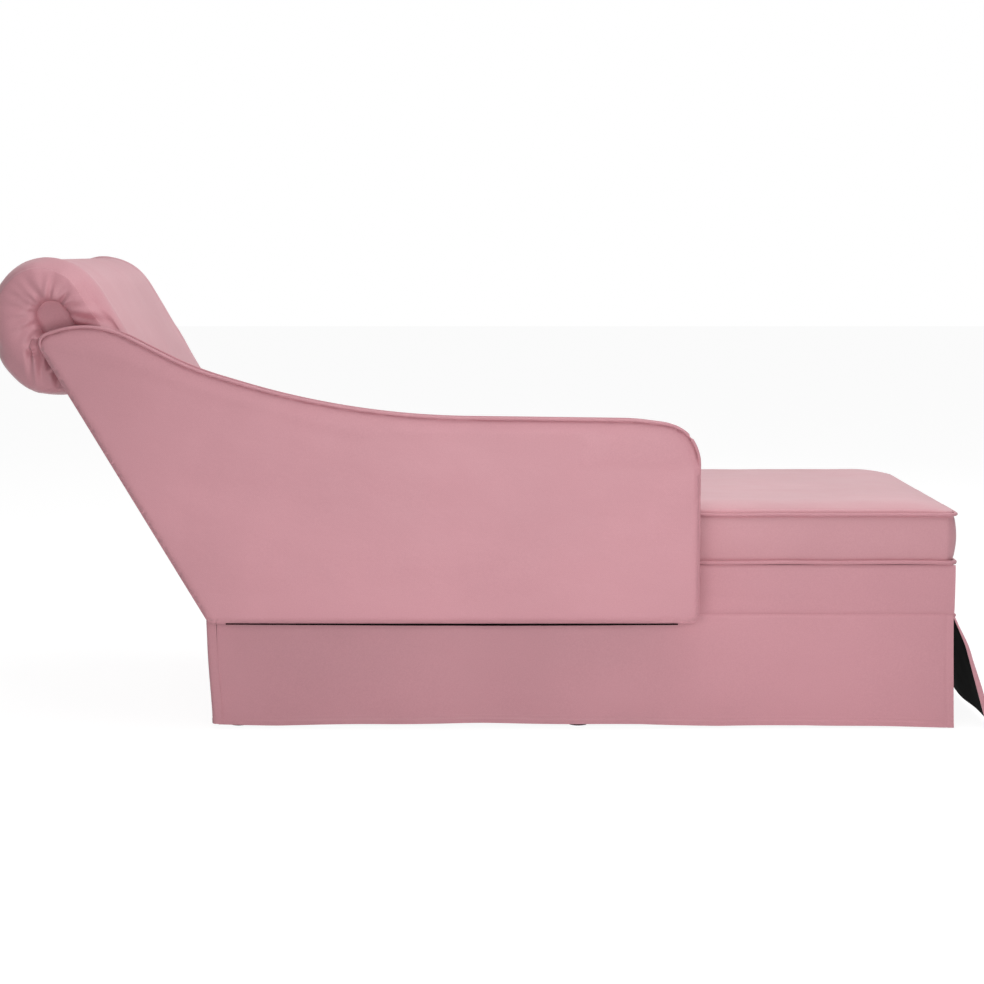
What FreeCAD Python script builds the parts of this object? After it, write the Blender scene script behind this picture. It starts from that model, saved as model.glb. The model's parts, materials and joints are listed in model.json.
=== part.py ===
"""Chaise longue with one arm: sprung base on six legs, raked back with a scroll roll,
a loose boxed seat cushion, a skirt to the floor and a foot flap that swings out.

Frame: the origin is on the floor under the middle of the base. +X points to the foot
end, +Y away from the arm, +Z up. Millimetres.
"""
import FreeCAD, Part
import math
import os
import Sketcher
from FreeCAD import Placement, Rotation, Vector

doc = FreeCAD.newDocument("Chaise")

# Driving sizes. Every cell is a plain number in millimetres or degrees.
sizes = [
    ("half_width", 340, "middle of the base to the outside of its side border"),
    ("foot_end", 741, "origin to the outside of the foot border"),
    ("back_x", -724.5, "place of the outside back where it meets the skirt seam"),
    ("rake", 30.4, "lean of the back from upright, degrees"),
    ("seam_height", 233.5, "seam between the border and the skirt"),
    ("rail_rise", 2, "seam up to the underside of the rails, where the legs start"),
    ("rail_height", 84, "height of the side, head and foot rails"),
    ("rail_thick", 25, "thickness of every rail and post"),
    ("padding_thick", 9, "padding between a rail and its border cloth"),
    ("cloth_thick", 2.5, "thickness of the border cloth"),
    ("border_bulge", 1.5, "how far the border cloth swells between its seams"),
    ("border_round", 900, "round of that swell"),
    ("border_height", 98, "seam up to the top of the border and of the deck cloth"),
    ("clearance", 0.3, "gap between pieces that only touch"),
    ("glide_height", 8, "height of the pad under a leg"),
    ("glide_radius", 20, "radius of the pad under a leg"),
    ("leg_foot_width", 44, "width of a square leg at its pad"),
    ("leg_top_width", 60, "width of a leg under the rail"),
    ("leg_head_inset", 42.5, "outside back to the centre of a head leg"),
    ("leg_foot_inset", 59, "foot border to the centre of a foot leg"),
    ("leg_side_inset", 52, "side border to the centre of a leg"),
    ("bolt_radius", 4, "shank radius of the bolts"),
    ("bolt_clearance", 0.2, "radial clearance of a bolt in its hole"),
    ("hanger_down", 40, "depth of a hanger bolt in its leg"),
    ("hanger_up", 36, "depth of a hanger bolt in its block"),
    ("block_height", 45, "height of the leg blocks"),
    ("block_length", 92, "length of a leg block along the rail"),
    ("block_width", 80, "width of a leg block across the base"),
    ("block_bevel", 34, "bevel on the free corner of a leg block"),
    ("cross_rail_x", 350, "distance of a cross rail from the middle"),
    ("cross_rail_height", 58, "height of a cross rail"),
    ("web_width", 58, "width of a webbing strip"),
    ("web_thick", 2, "thickness of a webbing strip"),
    ("web_long_gap", 130, "least spacing of the lengthwise strips, about"),
    ("web_cross_gap", 126, "least spacing of the crosswise strips, about"),
    ("web_rise", 18, "run over which a strip climbs over its neighbour"),
    ("deck_pad_thick", 6, "felt over the webbing"),
    ("post_back", 5, "outside of the back to the rear face of a post"),
    ("post_width", 63, "width of a back post along the side"),
    ("facing_width", 70, "width of the side facing over a post"),
    ("facing_thick", 4, "thickness of the side facing"),
    ("back_length", 672, "seam to the centre of the round top of the facing, along the rake"),
    ("back_rail_width", 60, "height of the rails inside the back"),
    ("back_mid_rail", 320, "place of the middle rail along the rake"),
    ("back_web_gap", 130, "spacing of the strips in the back"),
    ("back_cloth", 2, "thickness of the outside back cloth"),
    ("back_front", 125, "outside of the back to its front face"),
    ("back_crown", 6, "how far the front face swells in the middle"),
    ("back_end_round", 20, "rounding at the two ends of the back cushion"),
    ("back_overhang", 2, "cushion end inside the outside of the border"),
    ("roll_rise", 68, "front corner of the roll above the facing centre, along the rake"),
    ("roll_back", 114, "facing centre to the rear of the roll"),
    ("roll_shoulder", 88, "facing centre up to the rear shoulder of the roll"),
    ("roll_hip", 79, "facing centre down to the rear hip of the roll"),
    ("roll_tuck", 34, "facing centre back to where the underside starts"),
    ("roll_drop", 164, "facing centre down to the underside of the roll"),
    ("roll_front_radius", 89, "round at the front of the roll"),
    ("roll_top_radius", 104, "round at the top rear of the roll"),
    ("roll_rear_radius", 159, "round at the lower rear of the roll"),
    ("roll_under_radius", 83, "round under the roll"),
    ("arm_gap", 1, "base border to the inner face of the arm"),
    ("arm_thick", 75, "thickness of the arm"),
    ("arm_drop", 3.5, "seam down to the underside of the arm"),
    ("arm_tip_reach", 636, "tip of the arm along the rake"),
    ("arm_tip_radius", 20, "round at the tip"),
    ("arm_hump_x", -933.5, "corner over the hump of the arm"),
    ("arm_hump_rise", 583.5, "height of that corner above the seam"),
    ("arm_hump_radius", 180, "round over the hump"),
    ("arm_fall_x", -751, "corner where the slope eases"),
    ("arm_fall_rise", 490.5, "height of that corner above the seam"),
    ("arm_fall_radius", 600, "round where the slope eases"),
    ("arm_flat_x", -443.5, "corner where the slope meets the flat top"),
    ("arm_flat_rise", 398.5, "height of that corner above the seam"),
    ("arm_flat_radius", 1600, "round between the slope and the flat top"),
    ("arm_front_x", 227, "front of the arm"),
    ("arm_front_rise", 389, "height of the front top corner above the seam"),
    ("arm_front_radius", 86, "round at the front top corner"),
    ("arm_toe_radius", 16, "round at the bottom corners of the arm"),
    ("arm_cloth", 2, "thickness of the arm cloth"),
    ("arm_foam", 6, "thickness of the padding round the arm"),
    ("arm_board", 9, "thickness of the two arm boards"),
    ("arm_strip", 5, "thickness of the bent strip round the arm edge"),
    ("batten_width", 34, "width of the battens inside the arm"),
    ("piping_radius", 3, "radius of the piping"),
    ("arm_bolt_gap", 330, "spacing of the bolts that hold the arm"),
    ("arm_bolt_x", -190, "place of the middle bolt"),
    ("seat_thick", 106.7, "thickness of the loose cushion at its edge"),
    ("seat_piping_drop", 7, "top of the cushion edge down to its upper piping"),
    ("seat_crown", 11, "how far the top swells in the middle"),
    ("seat_edge_round", 9, "round at the top edge of the cushion"),
    ("seat_bulge", 3, "how far the cushion border swells"),
    ("seat_corner", 16, "corner radius of the cushion in plan"),
    ("seat_cloth", 2, "thickness of the cushion cloth"),
    ("seat_back_gap", 1, "cushion to the front face of the back"),
    ("skirt_thick", 3, "thickness of the skirt"),
    ("hem_height", 9, "hem above the floor"),
    ("skirt_wave", 3.5, "depth of the folds at the hem"),
    ("skirt_wrap", 18, "how far the head skirt turns the corners"),
    ("skirt_corner", 7, "bevel at the corners of the head skirt"),
    ("skirt_head_out", 12, "how far the foot of the outside back swells out to the head skirt"),
    ("skirt_head_swell", 26, "height of that swell"),
    ("skirt_head_tuck", 6, "how far the hem of the head skirt hangs in"),
    ("flap_thick", 3, "thickness of the foot flap"),
    ("lining_thick", 1.5, "thickness of its lining"),
    ("flap_bead", 3, "radius of the roll sewn along its top"),
    ("flap_knee_out", 30, "hinge line to the bend of the flap, outwards"),
    ("flap_knee_down", 59, "hinge line to the bend of the flap, downwards"),
    ("flap_hem_out", 84, "hinge line to the hem, outwards"),
    ("flap_bend_radius", 160, "round at the bend of the flap"),
    ("flap_lean", 21, "mean lean of the hanging flap, degrees"),
]

sheet = doc.addObject("Spreadsheet::Sheet", "Sizes")
for row, (alias, value, meaning) in enumerate(sizes, start=1):
    sheet.set(f"A{row}", meaning)
    sheet.set(f"B{row}", str(value))
    sheet.setAlias(f"B{row}", alias)
doc.recompute()

names = [alias for alias, value, meaning in sizes]

# Places that follow from the sizes.
worked = {
    "rail_bottom": "(seam_height + rail_rise)",
    "border_top": "(seam_height + border_height)",
    "leg_y": "(half_width - leg_side_inset)",
    "leg_head_x": "(back_x + leg_head_inset)",
    "leg_foot_x": "(foot_end - leg_foot_inset)",
    "leg_middle_x": "((leg_head_x + leg_foot_x) / 2)",
    "arm_bottom": "(seam_height - arm_drop)",
    "arm_hump_z": "(seam_height + arm_hump_rise)",
    "arm_fall_z": "(seam_height + arm_fall_rise)",
    "arm_flat_z": "(seam_height + arm_flat_rise)",
    "arm_front_z": "(seam_height + arm_front_rise)",
    "seat_bottom": "(border_top + clearance)",
    "seat_piping_low": "(seat_bottom + piping_radius + clearance)",
    "seat_edge_top": "(seat_bottom + seat_thick)",
    "seat_piping_high": "(seat_edge_top - seat_piping_drop)",
}


def inSheet(text):
    """Put the name of the sheet before each size in a short formula."""
    words = []
    word = ""
    for letter in str(text) + " ":
        if letter.isalnum() or letter == "_":
            word += letter
            continue
        if word in worked:
            word = inSheet(worked[word])
        words.append(f"Sizes.{word}" if word in names else word)
        words.append(letter)
        word = ""
    return "".join(words).strip()


def number(text):
    """Value of a formula, as the document works it out."""
    return float(sheet.evalExpression(inSheet(text)))


# Places along the raked back: s runs up the rake from the seam, n out of the back.
def raked(s, n):
    x = f"(back_x - ({s}) * sin(rake) + ({n}) * cos(rake))"
    z = f"(seam_height + ({s}) * cos(rake) + ({n}) * sin(rake))"
    return x, z


def rakedAt(n, z):
    """X of the line n at the height z."""
    return f"(back_x - (({z}) - seam_height) * tan(rake) + ({n}) / cos(rake))"


# Sketches: straight runs with tangent rounds at the corners that have a radius.
def drawOutline(sketch, corners):
    points = [Vector(number(c[0]), number(c[1]), 0) for c in corners]
    radii = [number(c[2]) if len(c) > 2 else 0 for c in corners]
    count = len(points)
    starts = []
    ends = []
    for i, point in enumerate(points):
        before = (points[i - 1] - point).normalize()
        after = (points[(i + 1) % count] - point).normalize()
        opening = before.getAngle(after)
        reach = radii[i] / math.tan(opening / 2)
        starts.append(point + before * reach)
        ends.append(point + after * reach)
    lines = []
    for i in range(count):
        line = Part.LineSegment(ends[i], starts[(i + 1) % count])
        lines.append(sketch.addGeometry(line))
    for i, point in enumerate(points):
        before = lines[i - 1]
        after = lines[i]
        if radii[i]:
            turn = (point - points[i - 1]).cross(points[(i + 1) % count] - point).z
            inward = (starts[i] - point).normalize() + (ends[i] - point).normalize()
            opening = (starts[i] - point).getAngle(ends[i] - point)
            centre = point + inward.normalize() * (radii[i] / math.sin(opening / 2))
            first, last = (starts[i], ends[i]) if turn > 0 else (ends[i], starts[i])
            low = math.atan2(first.y - centre.y, first.x - centre.x)
            high = math.atan2(last.y - centre.y, last.x - centre.x)
            if high < low:
                high += 2 * math.pi
            circle = Part.Circle(centre, Vector(0, 0, 1), radii[i])
            arc = sketch.addGeometry(Part.ArcOfCircle(circle, low, high))
            corner = sketch.addGeometry(Part.Point(point), True)
            entry, leave = (1, 2) if turn > 0 else (2, 1)
            sketch.addConstraint(Sketcher.Constraint("Tangent", before, 2, arc, entry))
            sketch.addConstraint(Sketcher.Constraint("Tangent", arc, leave, after, 1))
            sketch.addConstraint(Sketcher.Constraint("PointOnObject", corner, 1, before))
            sketch.addConstraint(Sketcher.Constraint("PointOnObject", corner, 1, after))
            radius = Sketcher.Constraint("Radius", arc, radii[i])
            bind(sketch, radius, corners[i][2])
            pinned = (corner, 1)
        else:
            sketch.addConstraint(Sketcher.Constraint("Coincident", before, 2, after, 1))
            pinned = (after, 1)
        across = Sketcher.Constraint("DistanceX", -1, 1, pinned[0], pinned[1], point.x)
        bind(sketch, across, corners[i][0])
        along = Sketcher.Constraint("DistanceY", -1, 1, pinned[0], pinned[1], point.y)
        bind(sketch, along, corners[i][1])


def bind(sketch, constraint, text):
    index = sketch.addConstraint(constraint)
    sketch.setExpression(f"Constraints[{index}]", inSheet(text))


def drawCircle(sketch, x, y, radius):
    centre = Vector(number(x), number(y), 0)
    circle = sketch.addGeometry(Part.Circle(centre, Vector(0, 0, 1), number(radius)))
    bind(sketch, Sketcher.Constraint("DistanceX", -1, 1, circle, 3, centre.x), x)
    bind(sketch, Sketcher.Constraint("DistanceY", -1, 1, circle, 3, centre.y), y)
    bind(sketch, Sketcher.Constraint("Radius", circle, number(radius)), radius)


# The sketch planes: from the side, from above and from the foot.
planeRoles = {"side": "XZ_Plane", "plan": "XY_Plane", "end": "YZ_Plane"}
planeTurns = {
    "side": Rotation(Vector(1, 0, 0), 90),
    "plan": Rotation(),
    "end": Rotation(Vector(1, 1, 1), 120),
}

madeNodes = []


def keep(node, label=None):
    """A sub-part of the chaise: its label is the name of its file."""
    node.Label = label or node.Name
    madeNodes.append(node)
    return node


def sketchIn(body, name, plane, offset):
    sketch = body.newObject("Sketcher::SketchObject", name)
    role = planeRoles[plane]
    origin = next(part for part in body.Origin.OriginFeatures if part.Role == role)
    sketch.AttachmentSupport = [(origin, "")]
    sketch.MapMode = "FlatFace"
    sketch.setExpression("AttachmentOffset.Base.z", inSheet(offset))
    return sketch


def freeSketch(name, plane, place, corners):
    """A sketch outside a body, at a place along the axis that it faces."""
    sketch = doc.addObject("Sketcher::SketchObject", name)
    sketch.Placement = Placement(Vector(), planeTurns[plane])
    axis = {"side": "y", "plan": "z", "end": "x"}[plane]
    sketch.setExpression(f"Placement.Base.{axis}", inSheet(place))
    drawOutline(sketch, corners)
    sketch.recompute()
    return sketch


def prism(name, plane, corners, low, high):
    """A board, block or sheet: an outline padded from low to high across its plane."""
    body = doc.addObject("PartDesign::Body", name)
    offset = f"-({high})" if plane == "side" else low
    sketch = sketchIn(body, f"{name}_outline", plane, offset)
    drawOutline(sketch, corners)
    pad = body.newObject("PartDesign::Pad", f"{name}_pad")
    pad.Profile = sketch
    pad.setExpression("Length", inSheet(f"({high}) - ({low})"))
    body.Tip = pad
    return body


def cutThrough(body, name, plane, shapes):
    """A pocket through the whole body, both ways from the middle plane."""
    sketch = sketchIn(body, f"{body.Name}_{name}", plane, "0")
    for draw, values in shapes:
        draw(sketch, *values)
    pocket = body.newObject("PartDesign::Pocket", f"{body.Name}_{name}_cut")
    pocket.Profile = sketch
    pocket.Type = "ThroughAll"
    pocket.Midplane = True
    body.Tip = pocket


def trimAtRake(body, n, low, high):
    """Cut the head end of a body along the raked line n."""
    beyond = "back_x - back_length"
    corners = [
        (rakedAt(n, low), low),
        (rakedAt(n, high), high),
        (beyond, high),
        (beyond, low),
    ]
    cutThrough(body, "rake", "side", [(drawOutline, (corners,))])


def group(name, pieces):
    node = doc.addObject("Part::Compound", name)
    node.Links = pieces
    return keep(node)


def cylinder(name, radius, height, x, y, z, turn=None):
    node = doc.addObject("Part::Cylinder", name)
    node.setExpression("Radius", inSheet(radius))
    node.setExpression("Height", inSheet(height))
    if turn:
        node.Placement = Placement(Vector(), turn)
    node.setExpression("Placement.Base.x", inSheet(x))
    node.setExpression("Placement.Base.y", inSheet(y))
    node.setExpression("Placement.Base.z", inSheet(z))
    return node


def extrude(name, base, direction, length):
    """Pad a free sketch or an offset of one."""
    node = doc.addObject("Part::Extrusion", name)
    node.Base = base
    node.DirMode = "Custom"
    node.Dir = direction
    node.Solid = True
    node.setExpression("LengthFwd", inSheet(length))
    return node


def inset(name, sketch, depth):
    """The same outline, drawn in by a depth."""
    node = doc.addObject("Part::Offset2D", name)
    node.Source = sketch
    node.setExpression("Value", inSheet(f"-({depth})"))
    return node


def cut(name, base, tool):
    node = doc.addObject("Part::Cut", name)
    node.Base = base
    node.Tool = tool
    return node


def tube(name, path, radius):
    """Piping along every edge of a closed sketch: eight flats round its cord."""
    start = path.Shape.Edges[0]
    section = doc.addObject("Part::RegularPolygon", f"{name}_section")
    section.Polygon = 8
    section.setExpression("Circumradius", inSheet(f"{radius} / cos(180 / 8)"))
    facing = Rotation(Vector(0, 0, 1), start.tangentAt(start.FirstParameter))
    flat = Rotation(Vector(0, 0, 1), 180 / section.Polygon)
    section.Placement = Placement(start.valueAt(start.FirstParameter), facing * flat)
    node = doc.addObject("Part::Sweep", name)
    node.Sections = [section]
    edges = [f"Edge{i + 1}" for i in range(len(path.Shape.Edges))]
    node.Spine = (path, edges)
    node.Solid = True
    node.Frenet = False
    return keep(node)


# Levels and faces that several pieces share.
railTop = "(rail_bottom + rail_height)"
railOut = "(half_width - cloth_thick - padding_thick)"
railIn = f"({railOut} - rail_thick)"
footRailOut = "(foot_end - cloth_thick - padding_thick)"
footRailIn = f"({footRailOut} - rail_thick)"
postFront = "(post_back + post_width)"
headRailFront = "(post_back + rail_thick)"
deckTop = "border_top"
bothSides = [("arm", -1), ("open", 1)]


def span(side, near, far):
    """A stretch of Y between two distances from the centre line, on one side."""
    return (near, far) if side > 0 else (f"-({far})", f"-({near})")


# Square tapered legs, their glides and the hanger bolts that hold them.
legPlaces = ["head", "middle", "foot"]
upright = Rotation(Vector(1, 0, 0), 90)
glides = []
hangers = []
for side, sign in bothSides:
    for place in legPlaces:
        x = f"leg_{place}_x"
        y = f"{sign} * leg_y"
        leg = f"leg_{side}_{place}"
        taper = doc.addObject("Part::Wedge", f"{leg}_taper")
        for corner, width in [("", "leg_foot_width"), ("2", "leg_top_width")]:
            for axis in ("X", "Z"):
                taper.setExpression(f"{axis}{corner}min", inSheet(f"0 - {width} / 2"))
                taper.setExpression(f"{axis}{corner}max", inSheet(f"{width} / 2"))
        taper.setExpression("Ymin", inSheet("glide_height"))
        taper.setExpression("Ymax", inSheet("rail_bottom"))
        taper.Placement = Placement(Vector(), upright)
        taper.setExpression("Placement.Base.x", inSheet(x))
        taper.setExpression("Placement.Base.y", inSheet(y))
        bore = cylinder(f"{leg}_bore", "bolt_radius + bolt_clearance", "hanger_down * 2",
                        x, y, "rail_bottom - hanger_down")
        keep(cut(f"{leg}_bored", taper, bore), leg)
        glides.append(cylinder(f"glide_{side}_{place}", "glide_radius", "glide_height", x, y, "0"))
        hangers.append(cylinder(
            f"hanger_{side}_{place}", "bolt_radius", "hanger_down + hanger_up",
            x, y, "rail_bottom - hanger_down"))
group("glides", glides)
group("hanger_bolts", hangers)

# Holes for the three bolts that hold the arm to its side rail.
boltLevel = "(rail_bottom + rail_height * 3 / 4)"
boltPlaces = [f"(arm_bolt_x + {k} * arm_bolt_gap)" for k in (-1, 0, 1)]
boltHoles = [(drawCircle, (x, boltLevel, "bolt_radius + bolt_clearance")) for x in boltPlaces]

# Side rails, cut along the rake where they meet the posts.
for side, sign in bothSides:
    low, high = span(sign, railIn, railOut)
    rail = prism(f"side_rail_{side}", "side", [
        (rakedAt(postFront, "rail_bottom"), "rail_bottom"),
        (footRailOut, "rail_bottom"),
        (footRailOut, railTop),
        (rakedAt(postFront, railTop), railTop),
    ], low, high)
    if sign < 0:
        cutThrough(rail, "bolts", "side", boltHoles)
    keep(rail)

# Head rail, leaning with the back, and an upright foot rail.
head = prism("head_rail", "side", [
    (rakedAt("post_back", "rail_bottom"), "rail_bottom"),
    (rakedAt(headRailFront, "rail_bottom"), "rail_bottom"),
    (rakedAt(headRailFront, railTop), railTop),
    (rakedAt("post_back", railTop), railTop),
], f"-{railIn}", railIn)
keep(head)
foot = prism("foot_rail", "side", [
    (footRailIn, "rail_bottom"),
    (footRailOut, "rail_bottom"),
    (footRailOut, railTop),
    (footRailIn, railTop),
], f"-{railIn}", railIn)
keep(foot)

# Cross rails, set low so that the webbing can give.
for place, step in [("head", -1), ("foot", 1)]:
    middle = f"{step} * cross_rail_x"
    rail = prism(f"cross_rail_{place}", "side", [
        (f"{middle} - rail_thick / 2", "rail_bottom"),
        (f"{middle} + rail_thick / 2", "rail_bottom"),
        (f"{middle} + rail_thick / 2", "rail_bottom + cross_rail_height"),
        (f"{middle} - rail_thick / 2", "rail_bottom + cross_rail_height"),
    ], f"-{railIn}", railIn)
    keep(rail)

# Leg blocks glued into the corners and at the middle legs, bored for the hanger bolts.
blocks = []
for side, sign in bothSides:
    for place in legPlaces:
        near = f"{railIn} - block_width"
        if place == "head":
            outer = rakedAt(headRailFront, "rail_bottom")
            inner = f"{outer} + block_length"
        elif place == "foot":
            outer = footRailIn
            inner = f"{outer} - block_length"
        else:
            outer = "leg_middle_x - block_length / 2"
            inner = "leg_middle_x + block_length / 2"
        bevel = f"{inner} + block_bevel" if place == "foot" else f"{inner} - block_bevel"
        corners = [
            (outer, f"{sign} * {railIn}"),
            (inner, f"{sign} * {railIn}"),
            (inner, f"{sign} * ({near} + block_bevel)"),
            (bevel, f"{sign} * ({near})"),
            (outer, f"{sign} * ({near})"),
        ]
        block = prism(f"block_{side}_{place}", "plan", corners,
                      "rail_bottom", "rail_bottom + block_height")
        bore = [(drawCircle, (f"leg_{place}_x", f"{sign} * leg_y",
                              "bolt_radius + bolt_clearance"))]
        cutThrough(block, "bore", "plan", bore)
        blocks.append(block)
group("leg_blocks", blocks)

# Elastic webbing of the seat, woven over and under on top of the rails.


def wovenStrip(width, start, end, crossings, firstUp):
    """One strip seen from its edge: flat over each crossing, with a climb between."""
    thick = number("web_thick")
    half = number("web_width") / 2
    rise = number("web_rise")
    base = number(railTop)
    path = [(start, base)]
    up = firstUp
    for place in crossings:
        level = base + thick if up else base
        if up:
            path.append((place - half - rise, base))
            path.append((place - half, level))
            path.append((place + half, level))
            path.append((place + half + rise, base))
        up = not up
    path.append((end, base))
    outline = [Vector(x, 0, z) for x, z in path]
    outline += [Vector(x, 0, z + thick) for x, z in reversed(path)]
    outline.append(outline[0])
    face = Part.Face(Part.makePolygon(outline))
    strip = face.extrude(Vector(0, width, 0))
    strip.translate(Vector(0, -width / 2, 0))
    return strip


def spread(low, high, gap):
    """Evenly spaced places between two rails, about a gap apart."""
    bays = round((high - low) / gap)
    return [low + (high - low) * (k + 1) / bays for k in range(bays - 1)]


webWidth = number("web_width")
headWebEnd = number(rakedAt("post_back + web_thick", railTop))
footWebEnd = number(f"{footRailOut} - web_thick")
sideWebEnd = number(f"{railOut} - web_thick")
crossAt = spread(headWebEnd, footWebEnd, number("web_cross_gap"))
longAt = spread(-sideWebEnd, sideWebEnd, number("web_long_gap"))

longStrips = []
for index, y in enumerate(longAt):
    strip = wovenStrip(webWidth, headWebEnd, footWebEnd, crossAt, index % 2 == 0)
    strip.translate(Vector(0, y, 0))
    longStrips.append(strip)
webLong = doc.addObject("Part::Feature", "webbing_long")
webLong.Shape = Part.makeCompound(longStrips)
keep(webLong)

crossStrips = []
for index, x in enumerate(crossAt):
    strip = wovenStrip(webWidth, -sideWebEnd, sideWebEnd, longAt, index % 2 == 1)
    strip.rotate(Vector(), Vector(0, 0, 1), 90)
    strip.translate(Vector(x, 0, 0))
    crossStrips.append(strip)
webCross = doc.addObject("Part::Feature", "webbing_cross")
webCross.Shape = Part.makeCompound(crossStrips)
keep(webCross)

# Felt and cloth of the deck under the loose cushion.
deckPadLow = f"({railTop} + 2 * web_thick)"
deckPadTop = f"({deckPadLow} + deck_pad_thick)"
deckHead = rakedAt("facing_width + clearance", railTop)
for name, reach, foot, low, high in [
    ("deck_pad", railOut, footRailOut, deckPadLow, deckPadTop),
    ("deck_cloth", "(half_width - cloth_thick)", "(foot_end - cloth_thick)", deckPadTop, deckTop),
]:
    deck = prism(name, "plan", [
        (deckHead, f"-{reach}"),
        (foot, f"-{reach}"),
        (foot, reach),
        (deckHead, reach),
    ], low, high)
    keep(deck)

# Padding and cloth round the base. The cloth swells between its two seams.
clothIn = "(half_width - cloth_thick)"
footClothIn = "(foot_end - cloth_thick)"
middleLevel = "((seam_height + border_top) / 2)"
pads = []
for side, sign in bothSides:
    low, high = span(sign, railOut, clothIn)
    pad = prism(f"border_padding_{side}", "side", [
        (rakedAt("facing_width + clearance", "rail_bottom"), "rail_bottom"),
        (footClothIn, "rail_bottom"),
        (footClothIn, deckPadTop),
        (rakedAt("facing_width + clearance", deckPadTop), deckPadTop),
    ], low, high)
    if sign < 0:
        cutThrough(pad, "bolts", "side", boltHoles)
    pads.append(pad)
    band = prism(f"border_{side}", "end", [
        (f"{sign} * {clothIn}", "seam_height"),
        (f"{sign} * (half_width - border_bulge)", "seam_height"),
        (f"{sign} * (half_width + clearance)", middleLevel, "border_round"),
        (f"{sign} * (half_width - border_bulge)", "border_top"),
        (f"{sign} * {clothIn}", "border_top"),
    ], "back_x - back_length / 4", "foot_end")
    trimAtRake(band, "facing_width + clearance", "seam_height - rail_thick",
               "border_top + rail_thick")
    if sign < 0:
        cutThrough(band, "bolts", "side", boltHoles)
    keep(band)
pads.append(prism("border_padding_foot", "side", [
    (footRailOut, "rail_bottom"),
    (footClothIn, "rail_bottom"),
    (footClothIn, deckPadTop),
    (footRailOut, deckPadTop),
], f"-{railOut}", railOut))
group("border_padding", pads)
band = prism("border_foot", "side", [
    (footClothIn, "seam_height"),
    ("foot_end - border_bulge", "seam_height"),
    ("foot_end + clearance", middleLevel, "border_round"),
    ("foot_end - border_bulge", "border_top"),
    (footClothIn, "border_top"),
], f"-{clothIn}", clothIn)
keep(band)

# Posts of the back with their round tops.
postTop = "(back_length + facing_width / 2 - post_back)"
for side, sign in bothSides:
    low, high = span(sign, railIn, railOut)
    post = prism(f"back_post_{side}", "side", [
        (rakedAt("post_back", "rail_bottom"), "rail_bottom"),
        (rakedAt(postFront, "rail_bottom"), "rail_bottom"),
        (*raked(postTop, postFront), "post_width / 2 - clearance"),
        (*raked(postTop, "post_back"), "post_width / 2 - clearance"),
    ], low, high)
    keep(post)

# Rails between the posts, flush with their front faces, and the webbing on them.
backRails = [
    ("low", "(back_rail_width + rail_height)"),
    ("middle", "(back_mid_rail + back_rail_width)"),
    ("top", "(back_length - back_rail_width / 2)"),
]
for place, s in backRails:
    rear = f"({postFront} - rail_thick)"
    rail = prism(f"back_rail_{place}", "side", [
        raked(f"{s} - back_rail_width / 2", rear),
        raked(f"{s} - back_rail_width / 2", postFront),
        raked(f"{s} + back_rail_width / 2", postFront),
        raked(f"{s} + back_rail_width / 2", rear),
    ], f"-{railIn}", railIn)
    keep(rail)
strips = []
for k in [-1.5, -0.5, 0.5, 1.5]:
    lowEnd = f"({backRails[0][1]} - back_rail_width / 2 + web_thick)"
    highEnd = "(back_length - web_thick)"
    strips.append(prism(f"back_web_{len(strips)}", "side", [
        raked(lowEnd, postFront),
        raked(lowEnd, f"{postFront} + web_thick"),
        raked(highEnd, f"{postFront} + web_thick"),
        raked(highEnd, postFront),
    ], f"{k} * back_web_gap - web_width / 2", f"{k} * back_web_gap + web_width / 2"))
group("back_webbing", strips)

# Side facings over the posts, and the plain outside back.
facingTop = "(back_length + facing_width / 2)"
for side, sign in bothSides:
    low, high = span(sign, railOut, f"{railOut} + facing_thick")
    facing = prism(f"facing_{side}", "side", [
        (rakedAt("0", "seam_height"), "seam_height"),
        (rakedAt("facing_width", "seam_height"), "seam_height"),
        (*raked(facingTop, "facing_width"), "facing_width / 2 - clearance"),
        (*raked(facingTop, "0"), "facing_width / 2 - clearance"),
    ], low, high)
    keep(facing)
facingX, facingZ = raked("back_length", "facing_width / 2")
underLevel = f"({facingZ} - roll_drop - clearance)"
for name, inner, outer in [
    ("outside_back_cloth", "0", "back_cloth"),
    ("outside_back_board", "back_cloth", "post_back"),
]:
    corners = [
        (rakedAt(outer, "seam_height"), "seam_height"),
        (rakedAt(outer, underLevel), underLevel),
        (rakedAt(inner, underLevel), underLevel),
    ]
    if inner == "0":
        corners.append((rakedAt(inner, "(seam_height + skirt_head_swell)"),
                        "seam_height + skirt_head_swell"))
        corners.append(("back_x - skirt_head_out + back_cloth", "seam_height"))
    else:
        corners.append((rakedAt(inner, "seam_height"), "seam_height"))
    keep(prism(name, "side", corners, f"-{railOut}", railOut))

# Back cushion: up the front, over the roll and round behind, open towards the posts.
cushionHalf = "(half_width - back_overhang)"
cushionLow = "(border_top + clearance)"
frontLine = "(back_front + clearance * 4)"
slotFront = "(facing_width + clearance)"
slotTop = "(back_length + facing_width / 2 + clearance)"
padded = prism("back_cushion_block", "side", [
    (rakedAt(slotFront, cushionLow), cushionLow),
    (rakedAt(frontLine, cushionLow), cushionLow),
    (*raked("back_length + roll_rise", frontLine), "roll_front_radius"),
    (f"{facingX} - roll_back", f"{facingZ} + roll_shoulder", "roll_top_radius"),
    (f"{facingX} - roll_back", f"{facingZ} - roll_hip", "roll_rear_radius"),
    (f"{facingX} - roll_tuck", f"{facingZ} - roll_drop", "roll_under_radius"),
    (rakedAt("-clearance", f"{facingZ} - roll_drop"), f"{facingZ} - roll_drop"),
    (*raked(slotTop, "-clearance"), "facing_width / 2 - clearance"),
    (*raked(slotTop, slotFront), "facing_width / 2 - clearance"),
], f"-{cushionHalf}", cushionHalf)
doc.recompute()


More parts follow.
